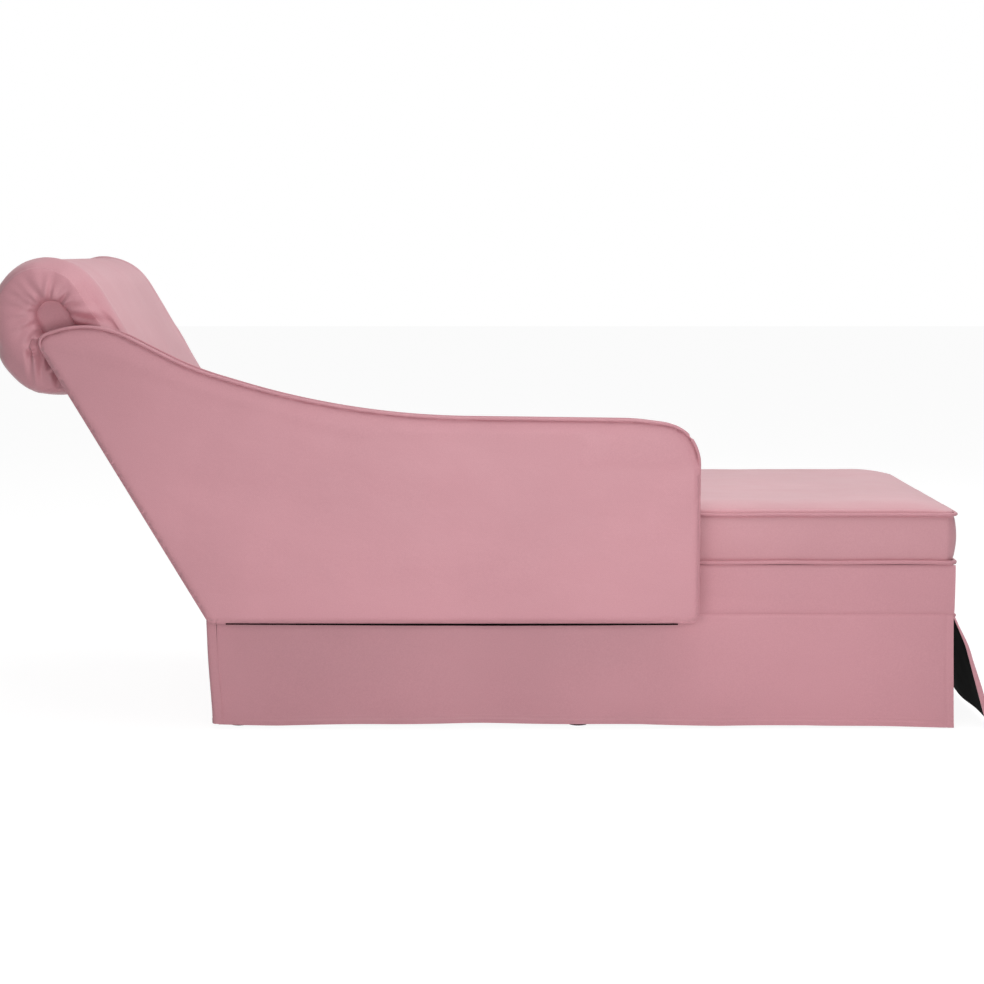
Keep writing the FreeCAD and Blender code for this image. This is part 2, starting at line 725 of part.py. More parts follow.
def frontEndEdges(shape):
    """The front edge of each end face. The round runs on from it along the outline."""
    found = []
    corner = Vector(number(rakedAt(frontLine, cushionLow)), 0, number(cushionLow))
    near = number("clearance")
    for index, edge in enumerate(shape.Edges, start=1):
        if edge.BoundBox.YLength > near:
            continue
        tips = [vertex.Point for vertex in edge.Vertexes]
        touches = any(Vector(tip.x, 0, tip.z).distanceToPoint(corner) < near for tip in tips)
        if touches and edge.BoundBox.ZLength > near:
            found.append(f"Edge{index}")
    return found


block = padded.Tip
rounded = padded.newObject("PartDesign::Fillet", "back_cushion_ends")
rounded.Base = (block, frontEndEdges(block.Shape))
rounded.setExpression("Radius", inSheet("back_end_round"))
padded.Tip = rounded

# The swell of the front face is a slice of a very large drum lying along the rake.
drumRadius = f"((({cushionHalf}) ^ 2 + back_crown ^ 2) / (2 * back_crown))"
drumX, drumZ = raked("-back_length / 2", f"back_front - {drumRadius}")
drum = cylinder("back_drum", drumRadius, "back_length * 2", drumX, "0", drumZ,
                Rotation(Vector(0, 1, 0), -number("rake")))
swollen = doc.addObject("Part::Common", "back_cushion")
swollen.Base = padded
swollen.Tool = drum
keep(swollen)

# Outline of the arm: up the rake to the tip, over the hump, down to the flat and the front.
armIn = "(half_width + arm_gap)"
armOut = f"({armIn} + arm_thick)"
armCorners = [
    (rakedAt("0", "arm_bottom"), "arm_bottom", "arm_toe_radius"),
    ("arm_front_x", "arm_bottom", "arm_toe_radius"),
    ("arm_front_x", "arm_front_z", "arm_front_radius"),
    ("arm_flat_x", "arm_flat_z", "arm_flat_radius"),
    ("arm_fall_x", "arm_fall_z", "arm_fall_radius"),
    ("arm_hump_x", "arm_hump_z", "arm_hump_radius"),
    (*raked("arm_tip_reach", "0"), "arm_tip_radius"),
]


def armSketch(name, depth):
    """The arm outline at a distance from the centre line, on the arm side."""
    return freeSketch(name, "side", f"-({depth})", armCorners)


def armSheet(name, edge, near, far, bored=False):
    """A sheet with the arm outline, drawn in by the edge distance."""
    sketch = armSketch(f"{name}_outline", far)
    length = f"({far}) - ({near})"
    node = extrude(name, inset(f"{name}_inset", sketch, edge), Vector(0, 1, 0), length)
    if not bored:
        return keep(node)
    node.Label = f"{name}_blank"
    drills = []
    for index, x in enumerate(boltPlaces):
        drills.append(cylinder(
            f"{name}_drill_{index}", "bolt_radius + bolt_clearance",
            f"{length} + piping_radius", x, f"-({near}) + piping_radius / 2", boltLevel,
            Rotation(Vector(1, 0, 0), 90)))
    drill = doc.addObject("Part::MultiFuse", f"{name}_drills")
    drill.Shapes = drills
    return keep(cut(f"{name}_bored", node, drill), name)


def armRing(name, outer, inner, near, far):
    """A strip that runs round the edge of the arm."""
    sketch = armSketch(f"{name}_outline", far)
    whole = sketch if outer == "0" else inset(f"{name}_outer", sketch, outer)
    length = f"({far}) - ({near})"
    shell = extrude(f"{name}_whole", whole, Vector(0, 1, 0), length)
    core = extrude(f"{name}_core", inset(f"{name}_inner", sketch, inner),
                   Vector(0, 1, 0), length)
    return keep(cut(name, shell, core))


# Cloth, padding, boards and edge strip, from the outside inwards.
seam = "piping_radius"
foamEdge = "(arm_cloth + arm_foam)"
stripEdge = f"({foamEdge} + arm_strip)"
innerCloth = f"({armIn} + arm_cloth)"
outerCloth = f"({armOut} - arm_cloth)"
innerFoam = f"({innerCloth} + arm_foam)"
outerFoam = f"({outerCloth} - arm_foam)"
innerBoard = f"({innerFoam} + arm_board)"
outerBoard = f"({outerFoam} - arm_board)"
armSheet("arm_panel_inner", seam, armIn, innerCloth, True)
armSheet("arm_panel_outer", seam, outerCloth, armOut)
armSheet("arm_padding_inner", seam, innerCloth, innerFoam, True)
armSheet("arm_padding_outer", seam, outerFoam, outerCloth)
armSheet("arm_board_inner", foamEdge, innerFoam, innerBoard, True)
armSheet("arm_board_outer", foamEdge, outerBoard, outerFoam)
innerSeam = f"({armIn} + piping_radius)"
outerSeam = f"({armOut} - arm_cloth)"
armRing("arm_band", "0", "arm_cloth", f"{innerSeam} + piping_radius",
        f"{outerSeam} - piping_radius")
armRing("arm_padding_edge", "arm_cloth", foamEdge, innerFoam, outerFoam)
armRing("arm_edge_strip", foamEdge, stripEdge, innerBoard, outerBoard)
tube("arm_piping_inner", armSketch("arm_piping_inner_path", innerSeam), "piping_radius")
tube("arm_piping_outer", armSketch("arm_piping_outer_path", outerSeam), "piping_radius")

# Battens between the two boards of the arm.
battenLow = f"(arm_bottom + {stripEdge})"
battenHigh = f"({battenLow} + batten_width)"
battenFront = f"(arm_front_x - {stripEdge})"
rearLine = stripEdge
rearInner = f"({stripEdge} + batten_width)"
frontTop = "(arm_front_z - arm_front_radius)"
rearTop = f"(arm_fall_z - {stripEdge})"
for name, corners in [
    ("arm_batten_bottom", [
        (rakedAt(rearLine, battenLow) + " + arm_toe_radius", battenLow),
        (f"{battenFront} - arm_toe_radius", battenLow),
        (f"{battenFront} - arm_toe_radius", battenHigh),
        (rakedAt(rearLine, battenHigh) + " + arm_toe_radius", battenHigh),
    ]),
    ("arm_batten_front", [
        (f"{battenFront} - batten_width", battenHigh),
        (battenFront, battenHigh),
        (battenFront, frontTop),
        (f"{battenFront} - batten_width", frontTop),
    ]),
    ("arm_batten_rear", [
        (rakedAt(rearLine, battenHigh), battenHigh),
        (rakedAt(rearInner, battenHigh), battenHigh),
        (rakedAt(rearInner, rearTop), rearTop),
        (rakedAt(rearLine, rearTop), rearTop),
    ]),
]:
    keep(prism(name, "side", corners, f"-{outerBoard}", f"-{innerBoard}"))

# Bolts from inside the side rail into nuts behind the inner board of the arm.
fixings = []
acrossY = Rotation(Vector(1, 0, 0), 90)
for index, x in enumerate(boltPlaces):
    fixings.append(cylinder(f"bolt_head_{index}", "bolt_radius * 2", "bolt_radius",
                            x, f"-{railIn} + bolt_radius", boltLevel, acrossY))
    fixings.append(cylinder(f"bolt_shank_{index}", "bolt_radius",
                            f"{innerBoard} - {railIn} + bolt_radius * 2",
                            x, f"-{railIn}", boltLevel, acrossY))
for index, x in enumerate(boltPlaces):
    nut = cylinder(f"nut_{index}", "bolt_radius * 2", "bolt_radius * 1.5",
                   x, f"-{innerBoard}", boltLevel, acrossY)
    hole = cylinder(f"nut_hole_{index}", "bolt_radius", "bolt_radius * 2",
                    x, f"-{innerBoard} + clearance", boltLevel, acrossY)
    fixings.append(cut(f"nut_bored_{index}", nut, hole))
group("arm_bolts", fixings)

# Loose seat cushion. Its head end leans with the back.
seatMargin = "max(piping_radius; seat_bulge)"
seatHalf = f"(half_width - {seatMargin})"
seatFront = f"(back_front + seat_back_gap + {seatMargin})"


def seatPlan(name, level, grow):
    """Outline of the cushion at one level, grown outwards by a little."""
    reach = f"({seatHalf} + {grow})"
    headX = rakedAt(f"({seatFront} - ({grow}))", level)
    footX = f"(foot_end + {grow})"
    return freeSketch(name, "plan", level, [
        (headX, f"-{reach}", "seat_corner"),
        (footX, f"-{reach}", "seat_corner"),
        (footX, reach, "seat_corner"),
        (headX, reach, "seat_corner"),
    ])


def seatLoft(name, levels):
    node = doc.addObject("Part::Loft", name)
    node.Sections = [seatPlan(f"{name}_{i}", level, grow)
                     for i, (level, grow) in enumerate(levels)]
    node.Solid = True
    node.Ruled = True
    return node


bandLow = "(seat_piping_low + piping_radius)"
bandHigh = "(seat_piping_high - piping_radius)"
bandMiddle = f"(({bandLow} + {bandHigh}) / 2)"
foamLow = "(seat_bottom + seat_cloth)"
foamHigh = f"({bandHigh} + clearance * 3)"
inward = "(0 - piping_radius - clearance * 2)"
foam = seatLoft("seat_foam", [
    (foamLow, inward),
    (bandMiddle, f"(seat_bulge + {inward})"),
    (foamHigh, inward),
])
keep(foam)
bandShell = seatLoft("seat_border_whole", [
    (bandLow, "0"),
    (bandMiddle, "seat_bulge"),
    (bandHigh, "0"),
])
keep(cut("seat_border", bandShell, foam))
bottom = extrude("seat_bottom_cloth", seatPlan("seat_bottom_outline", "seat_bottom", inward),
                 Vector(0, 0, 1), "seat_cloth")
keep(bottom)
tube("seat_piping_bottom", seatPlan("seat_piping_bottom_path", "seat_piping_low", "0"),
     "piping_radius")
tube("seat_piping_top", seatPlan("seat_piping_top_path", "seat_piping_high", "0"),
     "piping_radius")

# Top of the cushion: padded cloth, rounded at the edge and swollen in the middle.
topHalf = f"({seatHalf} + {inward})"
topHead = rakedAt(f"({seatFront} - ({inward}))", foamHigh)
topFoot = f"(foot_end + {inward})"
topBlock = prism("seat_top_block", "plan", [
    (topHead, f"-{topHalf}", "seat_corner"),
    (topFoot, f"-{topHalf}", "seat_corner"),
    (topFoot, topHalf, "seat_corner"),
    (topHead, topHalf, "seat_corner"),
], foamHigh, "seat_edge_top + seat_crown + clearance * 4")
doc.recompute()
roof = max(topBlock.Shape.Faces, key=lambda face: face.CenterOfMass.z)
roofIndex = [face.isSame(roof) for face in topBlock.Shape.Faces].index(True) + 1
blank = topBlock.Tip
eased = topBlock.newObject("PartDesign::Fillet", "seat_top_edge")
eased.Base = (blank, [f"Face{roofIndex}"])
eased.setExpression("Radius", inSheet("seat_edge_round + seat_crown / 2"))
topBlock.Tip = eased
crownLevel = "(seat_edge_top + seat_crown)"
lengthHalf = f"(({topFoot} - {topHead}) / 2)"
across = f"({topHalf} ^ 2 + seat_crown ^ 2) / (2 * seat_crown)"
along = f"({lengthHalf} ^ 2 + seat_crown ^ 2) / (2 * seat_crown)"
crownLong = cylinder("seat_crown_along", across, f"{lengthHalf} * 4",
                     f"{topHead} - {lengthHalf}", "0", f"{crownLevel} - {across}",
                     Rotation(Vector(0, 1, 0), 90))
crownWide = cylinder("seat_crown_across", along, f"{topHalf} * 4",
                     f"({topFoot} + {topHead}) / 2", f"{topHalf} * 2", f"{crownLevel} - {along}",
                     acrossY)
crowned = doc.addObject("Part::MultiCommon", "seat_top")
crowned.Shapes = [topBlock, crownLong, crownWide]
keep(crowned)

# Skirt: each panel is straight along its seam and falls into shallow folds at the hem.
foldShares = [0.0, 0.13, 0.31, 0.46, 0.6, 0.79, 1.0]


def foldedLine(start, end, outward, depth):
    """One face of a panel at one level, as arcs that swing out and in by the depth."""
    run = end - start
    edges = []
    for index in range(len(foldShares) - 1):
        first = start + run * foldShares[index]
        last = start + run * foldShares[index + 1]
        if depth:
            swing = depth if index % 2 else -depth
            middle = (first + last) / 2 + outward * swing
            edges.append(Part.Arc(first, middle, last).toShape())
        else:
            edges.append(Part.LineSegment(first, last).toShape())
    return edges


def line(first, last):
    return Part.LineSegment(first, last).toShape()


def foldedSection(start, end, outward, thick, depth, level):
    """Closed outline of a panel at one level: outer face, end, inner face, end."""
    up = Vector(0, 0, level)
    back = outward * -thick
    outer = foldedLine(start + up, end + up, outward, depth)
    inner = [edge.translated(back) for edge in outer]
    ends = [line(end + up, end + up + back), line(start + up + back, start + up)]
    return Part.Wire(Part.__sortEdges__(outer + [ends[0]] + inner + [ends[1]]))


def skirtPanel(name, start, end, outward):
    """A panel from its seam down to its hem."""
    top = number("seam_height")
    hem = number("hem_height")
    thick = number("skirt_thick")
    fold = number("skirt_wave")
    upper = foldedSection(start, end, outward, thick, 0, top)
    lower = foldedSection(start, end, outward, thick, fold, hem)
    node = doc.addObject("Part::Feature", name)
    node.Shape = Part.makeLoft([upper, lower], True, True)
    return keep(node)


half = number("half_width")
skirtHead = number("back_x - skirt_head_out")
wrapEnd = skirtHead + number("skirt_wrap")
skirtStart = wrapEnd + number("clearance")
skirtFoot = number("foot_end")
skirtPanel("skirt_arm", Vector(skirtStart, -half, 0), Vector(skirtFoot, -half, 0),
           Vector(0, -1, 0))
skirtPanel("skirt_open", Vector(skirtFoot, half, 0), Vector(skirtStart, half, 0),
           Vector(0, 1, 0))


def wrappedSection(head, depth, level, thick):
    """The head panel with both ends turned round the corners of the base."""
    turn = number("skirt_corner")
    lift = Vector(0, 0, level)

    def side(reach, edgeX):
        low = Vector(edgeX + turn, -reach, 0) + lift
        high = Vector(edgeX + turn, reach, 0) + lift
        flatLow = Vector(edgeX, -reach + turn, 0) + lift
        flatHigh = Vector(edgeX, reach - turn, 0) + lift
        edges = [line(Vector(wrapEnd, -reach, level), low), line(low, flatLow)]
        edges += foldedLine(flatLow, flatHigh, Vector(-1, 0, 0), depth)
        edges += [line(flatHigh, high), line(high, Vector(wrapEnd, reach, level))]
        return edges

    outer = side(half, head)
    inner = side(half - thick, head + thick)
    ends = [
        line(Vector(wrapEnd, half, level), Vector(wrapEnd, half - thick, level)),
        line(Vector(wrapEnd, thick - half, level), Vector(wrapEnd, -half, level)),
    ]
    return Part.Wire(Part.__sortEdges__(outer + inner + ends))


headSkirt = doc.addObject("Part::Feature", "skirt_head")
headSkirt.Shape = Part.makeLoft([
    wrappedSection(skirtHead, 0, number("seam_height"), number("skirt_thick")),
    wrappedSection(skirtHead + number("skirt_head_tuck"), number("skirt_wave"),
                   number("hem_height"), number("skirt_thick")),
], True, True)
keep(headSkirt)

# Foot flap: it hangs from the roll sewn along its top, which is its hinge line.
hingeX = "(foot_end + flap_bead / 2)"
hingeZ = "(seam_height - clearance - flap_bead)"
flapHalf = "(half_width - skirt_thick - clearance * 2)"


def flapOutline(shift):
    """Outer line of the flap, moved back into it along its mean normal."""
    x = f"{hingeX} - ({shift}) * cos(flap_lean)"
    z = f"{hingeZ} - ({shift}) * sin(flap_lean)"
    return [
        (f"{x} + flap_bead / 2", f"{z} - flap_bead"),
        (f"{x} + flap_knee_out", f"{z} - flap_knee_down", "flap_bend_radius"),
        (f"{x} + flap_hem_out", f"hem_height + (flap_thick - ({shift})) * sin(flap_lean)"),
    ]


for name, near, far in [
    ("foot_flap", "0", "flap_thick"),
    ("foot_flap_lining", "flap_thick", "flap_thick + lining_thick"),
]:
    sheetFlap = prism(f"{name}_sheet", "side",
                      flapOutline(near) + flapOutline(far)[::-1],
                      f"-{flapHalf}", flapHalf)
    if near != "0":
        keep(sheetFlap, name)
        continue
    bead = cylinder("flap_bead_roll", "flap_bead", f"{flapHalf} * 2",
                    hingeX, flapHalf, hingeZ, acrossY)
    group(name, [sheetFlap, bead])

# Every object is sound before any file is written.
doc.recompute()
for item in doc.Objects:
    for word in ("Invalid", "Error"):
        if word in item.State:
            raise RuntimeError(f"{item.Name} is {item.State}")
for node in madeNodes:
    if node.Shape.isNull() or not node.Shape.isValid():
        raise RuntimeError(f"{node.Label} has no sound shape")
    if not node.Shape.Solids:
        raise RuntimeError(f"{node.Label} has no solid")

os.makedirs("parts", exist_ok=True)
for node in madeNodes:
    node.Shape.exportStep(f"parts/{node.Label}.step")
print(len(madeNodes), "sub-parts written")
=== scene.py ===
import math
import json
import bpy
import numpy as np
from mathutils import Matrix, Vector, noise


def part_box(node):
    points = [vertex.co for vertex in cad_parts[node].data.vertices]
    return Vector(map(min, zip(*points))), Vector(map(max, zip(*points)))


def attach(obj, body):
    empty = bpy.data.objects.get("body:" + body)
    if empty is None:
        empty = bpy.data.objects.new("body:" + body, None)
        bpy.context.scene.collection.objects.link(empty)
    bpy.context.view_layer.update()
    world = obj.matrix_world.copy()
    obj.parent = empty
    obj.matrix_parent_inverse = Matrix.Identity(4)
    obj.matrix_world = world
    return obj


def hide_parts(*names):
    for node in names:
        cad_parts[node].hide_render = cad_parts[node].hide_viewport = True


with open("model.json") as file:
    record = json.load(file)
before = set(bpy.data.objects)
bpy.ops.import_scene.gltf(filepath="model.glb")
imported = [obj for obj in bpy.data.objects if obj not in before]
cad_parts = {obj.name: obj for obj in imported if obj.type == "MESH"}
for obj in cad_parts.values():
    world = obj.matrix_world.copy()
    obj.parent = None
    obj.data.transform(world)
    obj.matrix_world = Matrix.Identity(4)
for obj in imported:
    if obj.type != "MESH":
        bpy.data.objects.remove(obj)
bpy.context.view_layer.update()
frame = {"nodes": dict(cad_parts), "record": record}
scene = bpy.context.scene
print("stage 1: frame loaded")

# the camera, the floor and the light
view = {"place": (-0.173, -4.118, 0.9501), "down": 7.14, "lens": 71.0}
bpy.ops.object.select_all(action="DESELECT")
bpy.ops.object.camera_add(location=view["place"], rotation=(math.radians(90 - view["down"]), 0, 0))
camera = bpy.context.active_object
camera.data.lens = view["lens"]
camera.data.sensor_width = 36
scene.camera = camera
scene.view_settings.view_transform = "Standard"

lights = {
    "top": {"place": (0.55, -0.6, 3.4), "size": (3.6, 2.6), "power": 82, "aim": (0.0, 0.0, 0.4)},
    "front": {"place": (-0.1, -2.4, 0.62), "size": (1.4, 0.5), "power": 18.5,
              "aim": (-0.1, 0, 0.4)},
    "back": {"place": (1.0, 3.2, 2.6), "size": (3.0, 2.0), "power": 16, "aim": (0, 0, 0.5)},
    "world": 0.16,
}
for lightName in ("top", "front", "back"):
    spec = lights[lightName]
    aim = Vector(spec["aim"]) - Vector(spec["place"])
    bpy.ops.object.light_add(type="AREA", location=spec["place"],
                             rotation=aim.to_track_quat("-Z", "Y").to_euler())
    lamp = bpy.context.active_object
    lamp.name = "light_" + lightName
    lamp.data.shape = "RECTANGLE"
    lamp.data.size, lamp.data.size_y = spec["size"]
    lamp.data.energy = spec["power"]
    lamp.data.color = (1.0, 0.985, 0.97)
    lamp.visible_camera = False


def seenDirectly(tree):
    # camera, mirror and glass rays all see the plain white
    path = tree.nodes.new("ShaderNodeLightPath")
    first = tree.nodes.new("ShaderNodeMath")
    first.operation = "MAXIMUM"
    second = tree.nodes.new("ShaderNodeMath")
    second.operation = "MAXIMUM"
    tree.links.new(path.outputs["Is Camera Ray"], first.inputs[0])
    tree.links.new(path.outputs["Is Glossy Ray"], first.inputs[1])
    tree.links.new(first.outputs[0], second.inputs[0])
    tree.links.new(path.outputs["Is Transmission Ray"], second.inputs[1])
    return second.outputs[0]


world = bpy.data.worlds.new("studio")
scene.world = world
world.use_nodes = True
tree = world.node_tree
tree.nodes.clear()
worldOut = tree.nodes.new("ShaderNodeOutputWorld")
soft = tree.nodes.new("ShaderNodeBackground")
soft.inputs["Color"].default_value = (1, 1, 1, 1)
soft.inputs["Strength"].default_value = lights["world"]
plain = tree.nodes.new("ShaderNodeBackground")
plain.inputs["Color"].default_value = (1, 1, 1, 1)
plain.inputs["Strength"].default_value = 1
mixed = tree.nodes.new("ShaderNodeMixShader")
tree.links.new(seenDirectly(tree), mixed.inputs[0])
tree.links.new(soft.outputs[0], mixed.inputs[1])
tree.links.new(plain.outputs[0], mixed.inputs[2])
tree.links.new(mixed.outputs[0], worldOut.inputs[0])

bpy.ops.object.select_all(action="DESELECT")
bpy.ops.mesh.primitive_plane_add(size=40, location=(0, 0, 0))
floor = bpy.context.active_object
floor.name = "floor"
paint = bpy.data.materials.new("studio_floor")
paint.use_nodes = True
tree = paint.node_tree
tree.nodes.clear()
floorOut = tree.nodes.new("ShaderNodeOutputMaterial")
matt = tree.nodes.new("ShaderNodeBsdfDiffuse")
matt.inputs["Color"].default_value = (0.88, 0.88, 0.88, 1)
pale = tree.nodes.new("ShaderNodeBsdfDiffuse")
pale.inputs["Color"].default_value = (0.2, 0.2, 0.2, 1)
glow = tree.nodes.new("ShaderNodeEmission")
glow.inputs["Strength"].default_value = 0.93
both = tree.nodes.new("ShaderNodeAddShader")
pick = tree.nodes.new("ShaderNodeMixShader")
tree.links.new(pale.outputs[0], both.inputs[0])
tree.links.new(glow.outputs[0], both.inputs[1])
tree.links.new(seenDirectly(tree), pick.inputs[0])
tree.links.new(matt.outputs[0], pick.inputs[1])
tree.links.new(both.outputs[0], pick.inputs[2])
tree.links.new(pick.outputs[0], floorOut.inputs[0])
floor.data.materials.append(paint)
print("stage 2: camera, floor and lights set")

# materials


def newMaterial(name, roughness=0.6, sheen=0.0, specular=0.5, metallic=0.0, coat=0.0):
    made = bpy.data.materials.new(name)
    made.use_nodes = True
    shader = made.node_tree.nodes["Principled BSDF"]
    shader.inputs["Roughness"].default_value = roughness
    shader.inputs["Sheen Weight"].default_value = sheen
    shader.inputs["Sheen Roughness"].default_value = 0.45
    shader.inputs["Specular IOR Level"].default_value = specular
    shader.inputs["Metallic"].default_value = metallic
    shader.inputs["Coat Weight"].default_value = coat
    return made, made.node_tree, shader


def noiseAt(tree, coordinates, scale, detail=2.0, stretch=None):
    node = tree.nodes.new("ShaderNodeTexNoise")
    node.inputs["Scale"].default_value = scale
    node.inputs["Detail"].default_value = detail
    if stretch:
        mapping = tree.nodes.new("ShaderNodeMapping")
        mapping.inputs["Scale"].default_value = stretch
        tree.links.new(coordinates, mapping.inputs["Vector"])
        coordinates = mapping.outputs[0]
    tree.links.new(coordinates, node.inputs["Vector"])
    return node.outputs["Fac"]


def rampOf(tree, value, stops):
    ramp = tree.nodes.new("ShaderNodeValToRGB")
    while len(ramp.color_ramp.elements) < len(stops):
        ramp.color_ramp.elements.new(0.5)
    for element, (place, tone) in zip(ramp.color_ramp.elements, stops):
        element.position = place
        element.color = (*tone, 1)
    tree.links.new(value, ramp.inputs["Fac"])
    return ramp.outputs["Color"]


def bumpOf(tree, height, strength, distance, under=None):
    bump = tree.nodes.new("ShaderNodeBump")
    bump.inputs["Strength"].default_value = strength
    bump.inputs["Distance"].default_value = distance
    tree.links.new(height, bump.inputs["Height"])
    if under:
        tree.links.new(under, bump.inputs["Normal"])
    return bump.outputs["Normal"]


def waveAt(tree, coordinates, direction, scale, distortion=0.4):
    wave = tree.nodes.new("ShaderNodeTexWave")
    wave.bands_direction = direction
    wave.inputs["Scale"].default_value = scale
    wave.inputs["Distortion"].default_value = distortion
    tree.links.new(coordinates, wave.inputs["Vector"])
    return wave.outputs["Fac"]


def shades(tone, spread):
    return [tuple(channel * (1 - spread) for channel in tone), tone,
            tuple(min(1, channel * (1 + spread)) for channel in tone)]


def clothMaterial(name, tone, spread=0.05, sheen=0.1, roughness=0.5, weave=900, puckers=0.25,
                  specular=0.45):
    # smooth upholstery: a fine weave, a slightly uneven dye and soft shallow puckers
    made, tree, shader = newMaterial(name, roughness, sheen, specular)
    spot = tree.nodes.new("ShaderNodeTexCoord").outputs["Object"]
    low, middle, high = shades(tone, spread)
    patches = noiseAt(tree, spot, 2.6, 3)
    colour = rampOf(tree, patches, [(0.3, low), (0.5, middle), (0.7, high)])
    fine = noiseAt(tree, spot, 420, 4)
    mix = tree.nodes.new("ShaderNodeMix")
    mix.data_type = "RGBA"
    mix.blend_type = "OVERLAY"
    mix.inputs["Factor"].default_value = 0.12
    tree.links.new(colour, mix.inputs["A"])
    tree.links.new(fine, mix.inputs["B"])
    tree.links.new(mix.outputs["Result"], shader.inputs["Base Color"])
    crossed = tree.nodes.new("ShaderNodeMath")
    crossed.operation = "MULTIPLY"
    tree.links.new(waveAt(tree, spot, "DIAGONAL", weave / 6.28), crossed.inputs[0])
    tree.links.new(fine, crossed.inputs[1])
    puckered = bumpOf(tree, noiseAt(tree, spot, 9, 3, (1, 1, 1.6)), puckers, 0.01)
    woven = bumpOf(tree, crossed.outputs[0], 0.12, 0.0006, puckered)
    tree.links.new(woven, shader.inputs["Normal"])
    worn = tree.nodes.new("ShaderNodeMapRange")
    worn.inputs["To Min"].default_value = roughness - 0.06
    worn.inputs["To Max"].default_value = roughness + 0.08
    tree.links.new(noiseAt(tree, spot, 14, 3), worn.inputs["Value"])
    tree.links.new(worn.outputs[0], shader.inputs["Roughness"])
    return made


def woodMaterial(name, tone, spread=0.22, along=(1.5, 14, 14), roughness=0.65):
    made, tree, shader = newMaterial(name, roughness)
    spot = tree.nodes.new("ShaderNodeTexCoord").outputs["Object"]
    low, middle, high = shades(tone, spread)
    grain = noiseAt(tree, spot, 8, 6, along)
    tree.links.new(rampOf(tree, grain, [(0.35, low), (0.5, middle), (0.62, high)]),
                   shader.inputs["Base Color"])
    tree.links.new(bumpOf(tree, grain, 0.3, 0.001), shader.inputs["Normal"])
    return made


def plainMaterial(name, tone, scale, roughness, strength=0.2, metallic=0.0, spread=0.15, coat=0.0):
    made, tree, shader = newMaterial(name, roughness, 0, 0.5, metallic, coat)
    spot = tree.nodes.new("ShaderNodeTexCoord").outputs["Object"]
    low, middle, high = shades(tone, spread)
    grain = noiseAt(tree, spot, scale, 4)
    tree.links.new(rampOf(tree, grain, [(0.35, low), (0.5, middle), (0.65, high)]),
                   shader.inputs["Base Color"])
    tree.links.new(bumpOf(tree, grain, strength, 0.0008), shader.inputs["Normal"])
    return made


rose = (0.59, 0.283, 0.328)
roseCloth = clothMaterial("rose_cloth", rose)
# rose_seat_cloth is the rose cloth a touch lighter and paler, with more sheen: the lighter, paler
# tone is painted light for the brighter seat top
seatCloth = clothMaterial("rose_seat_cloth", (0.605, 0.30, 0.342), sheen=0.2, roughness=0.47)
pipingCloth = clothMaterial("rose_piping_cloth", (0.56, 0.262, 0.305), puckers=0.1)
liningCloth = clothMaterial("black_lining", (0.0014, 0.0013, 0.0013), sheen=0, roughness=0.95,
                            specular=0.05)
deckCloth = clothMaterial("deck_cloth", (0.42, 0.21, 0.24), roughness=0.75, sheen=0.1)
blackPaint = plainMaterial("black_leg_paint", (0.012, 0.012, 0.013), 60, 0.4, coat=0.2)
blackPad = plainMaterial("black_glide", (0.008, 0.008, 0.008), 300, 0.75)
zincSteel = plainMaterial("zinc_steel", (0.6, 0.6, 0.58), 220, 0.35, metallic=1.0)
pineWood = woodMaterial("sawn_pine", (0.62, 0.43, 0.24))
plyWood = woodMaterial("ply_board", (0.55, 0.38, 0.22), 0.16, (3, 3, 60))
webbingCloth = clothMaterial("elastic_webbing", (0.09, 0.085, 0.08), spread=0.2, roughness=0.85,
                             weave=2400)
feltCloth = clothMaterial("needled_felt", (0.72, 0.69, 0.62), spread=0.12, roughness=0.95,
                          puckers=0.6)
slotMaterials = {
    "leg": blackPaint, "glide": blackPad, "steel": zincSteel, "timber": pineWood,
    "board": plyWood, "webbing": webbingCloth, "padding": feltCloth, "foam": feltCloth,
    "lining": liningCloth, "deck": deckCloth, "piping": pipingCloth,
    "back_cover": roseCloth, "seat_cover": seatCloth, "cover": roseCloth,
}
for part in frame["record"]["subparts"]:
    node = frame["nodes"][part["node"]]
    node.data.materials.clear()
    node.data.materials.append(slotMaterials[part["material_slot"]])

# sizes and helpers for the pieces
# deck is where the cushions start; a post's round top has its middle postUp up the rake from
# the seam and postOut out of the outside back, and the post is postDeep deep
base = {"backX": -0.7245, "rake": 30.4, "seam": 0.2335, "foot": 0.741, "deck": 0.3318,
        "postUp": 0.672, "postOut": 0.035, "postDeep": 0.0706}
leanSin = math.sin(math.radians(base["rake"]))
leanCos = math.cos(math.radians(base["rake"]))


def raked(up, out):
    # a place up the rake from the seam and out of the outside back
    return (base["backX"] - up * leanSin + out * leanCos,
            base["seam"] + up * leanCos + out * leanSin)


def rakedAt(out, z):
    # the x of the same slope at a height z
    return base["backX"] - (z - base["seam"]) * leanSin / leanCos + out / leanCos


def onRake(x, z):
    # raked() the other way round: up the rake and out of the outside back
    dx, dz = x - base["backX"], z - base["seam"]
    return dz * leanCos - dx * leanSin, dx * leanCos + dz * leanSin


def roundedOutline(corners, closed=True, step=0.006):
    # points along straight runs and tangent rounds; a corner is (x, z, radius)
    points = []
    count = len(corners)
    for i, (x, z, radius) in enumerate(corners):
        here = Vector((x, z))
        if not closed and i in (0, count - 1):
            points.append(here)
            continue
        before = (Vector(corners[i - 1][:2]) - here).normalized()
        after = (Vector(corners[(i + 1) % count][:2]) - here).normalized()
        opening = before.angle(after)
        reach = radius / math.tan(opening / 2)
        centre = here + (before + after).normalized() * (radius / math.sin(opening / 2))
        first, last = here + before * reach, here + after * reach
        turn = math.pi - opening
        pieces = max(3, round(radius * turn / step))
        for k in range(pieces + 1):
            share = k / pieces
            swing = (first - centre).normalized().slerp((last - centre).normalized(), share)
            points.append(centre + swing * radius)
    return points


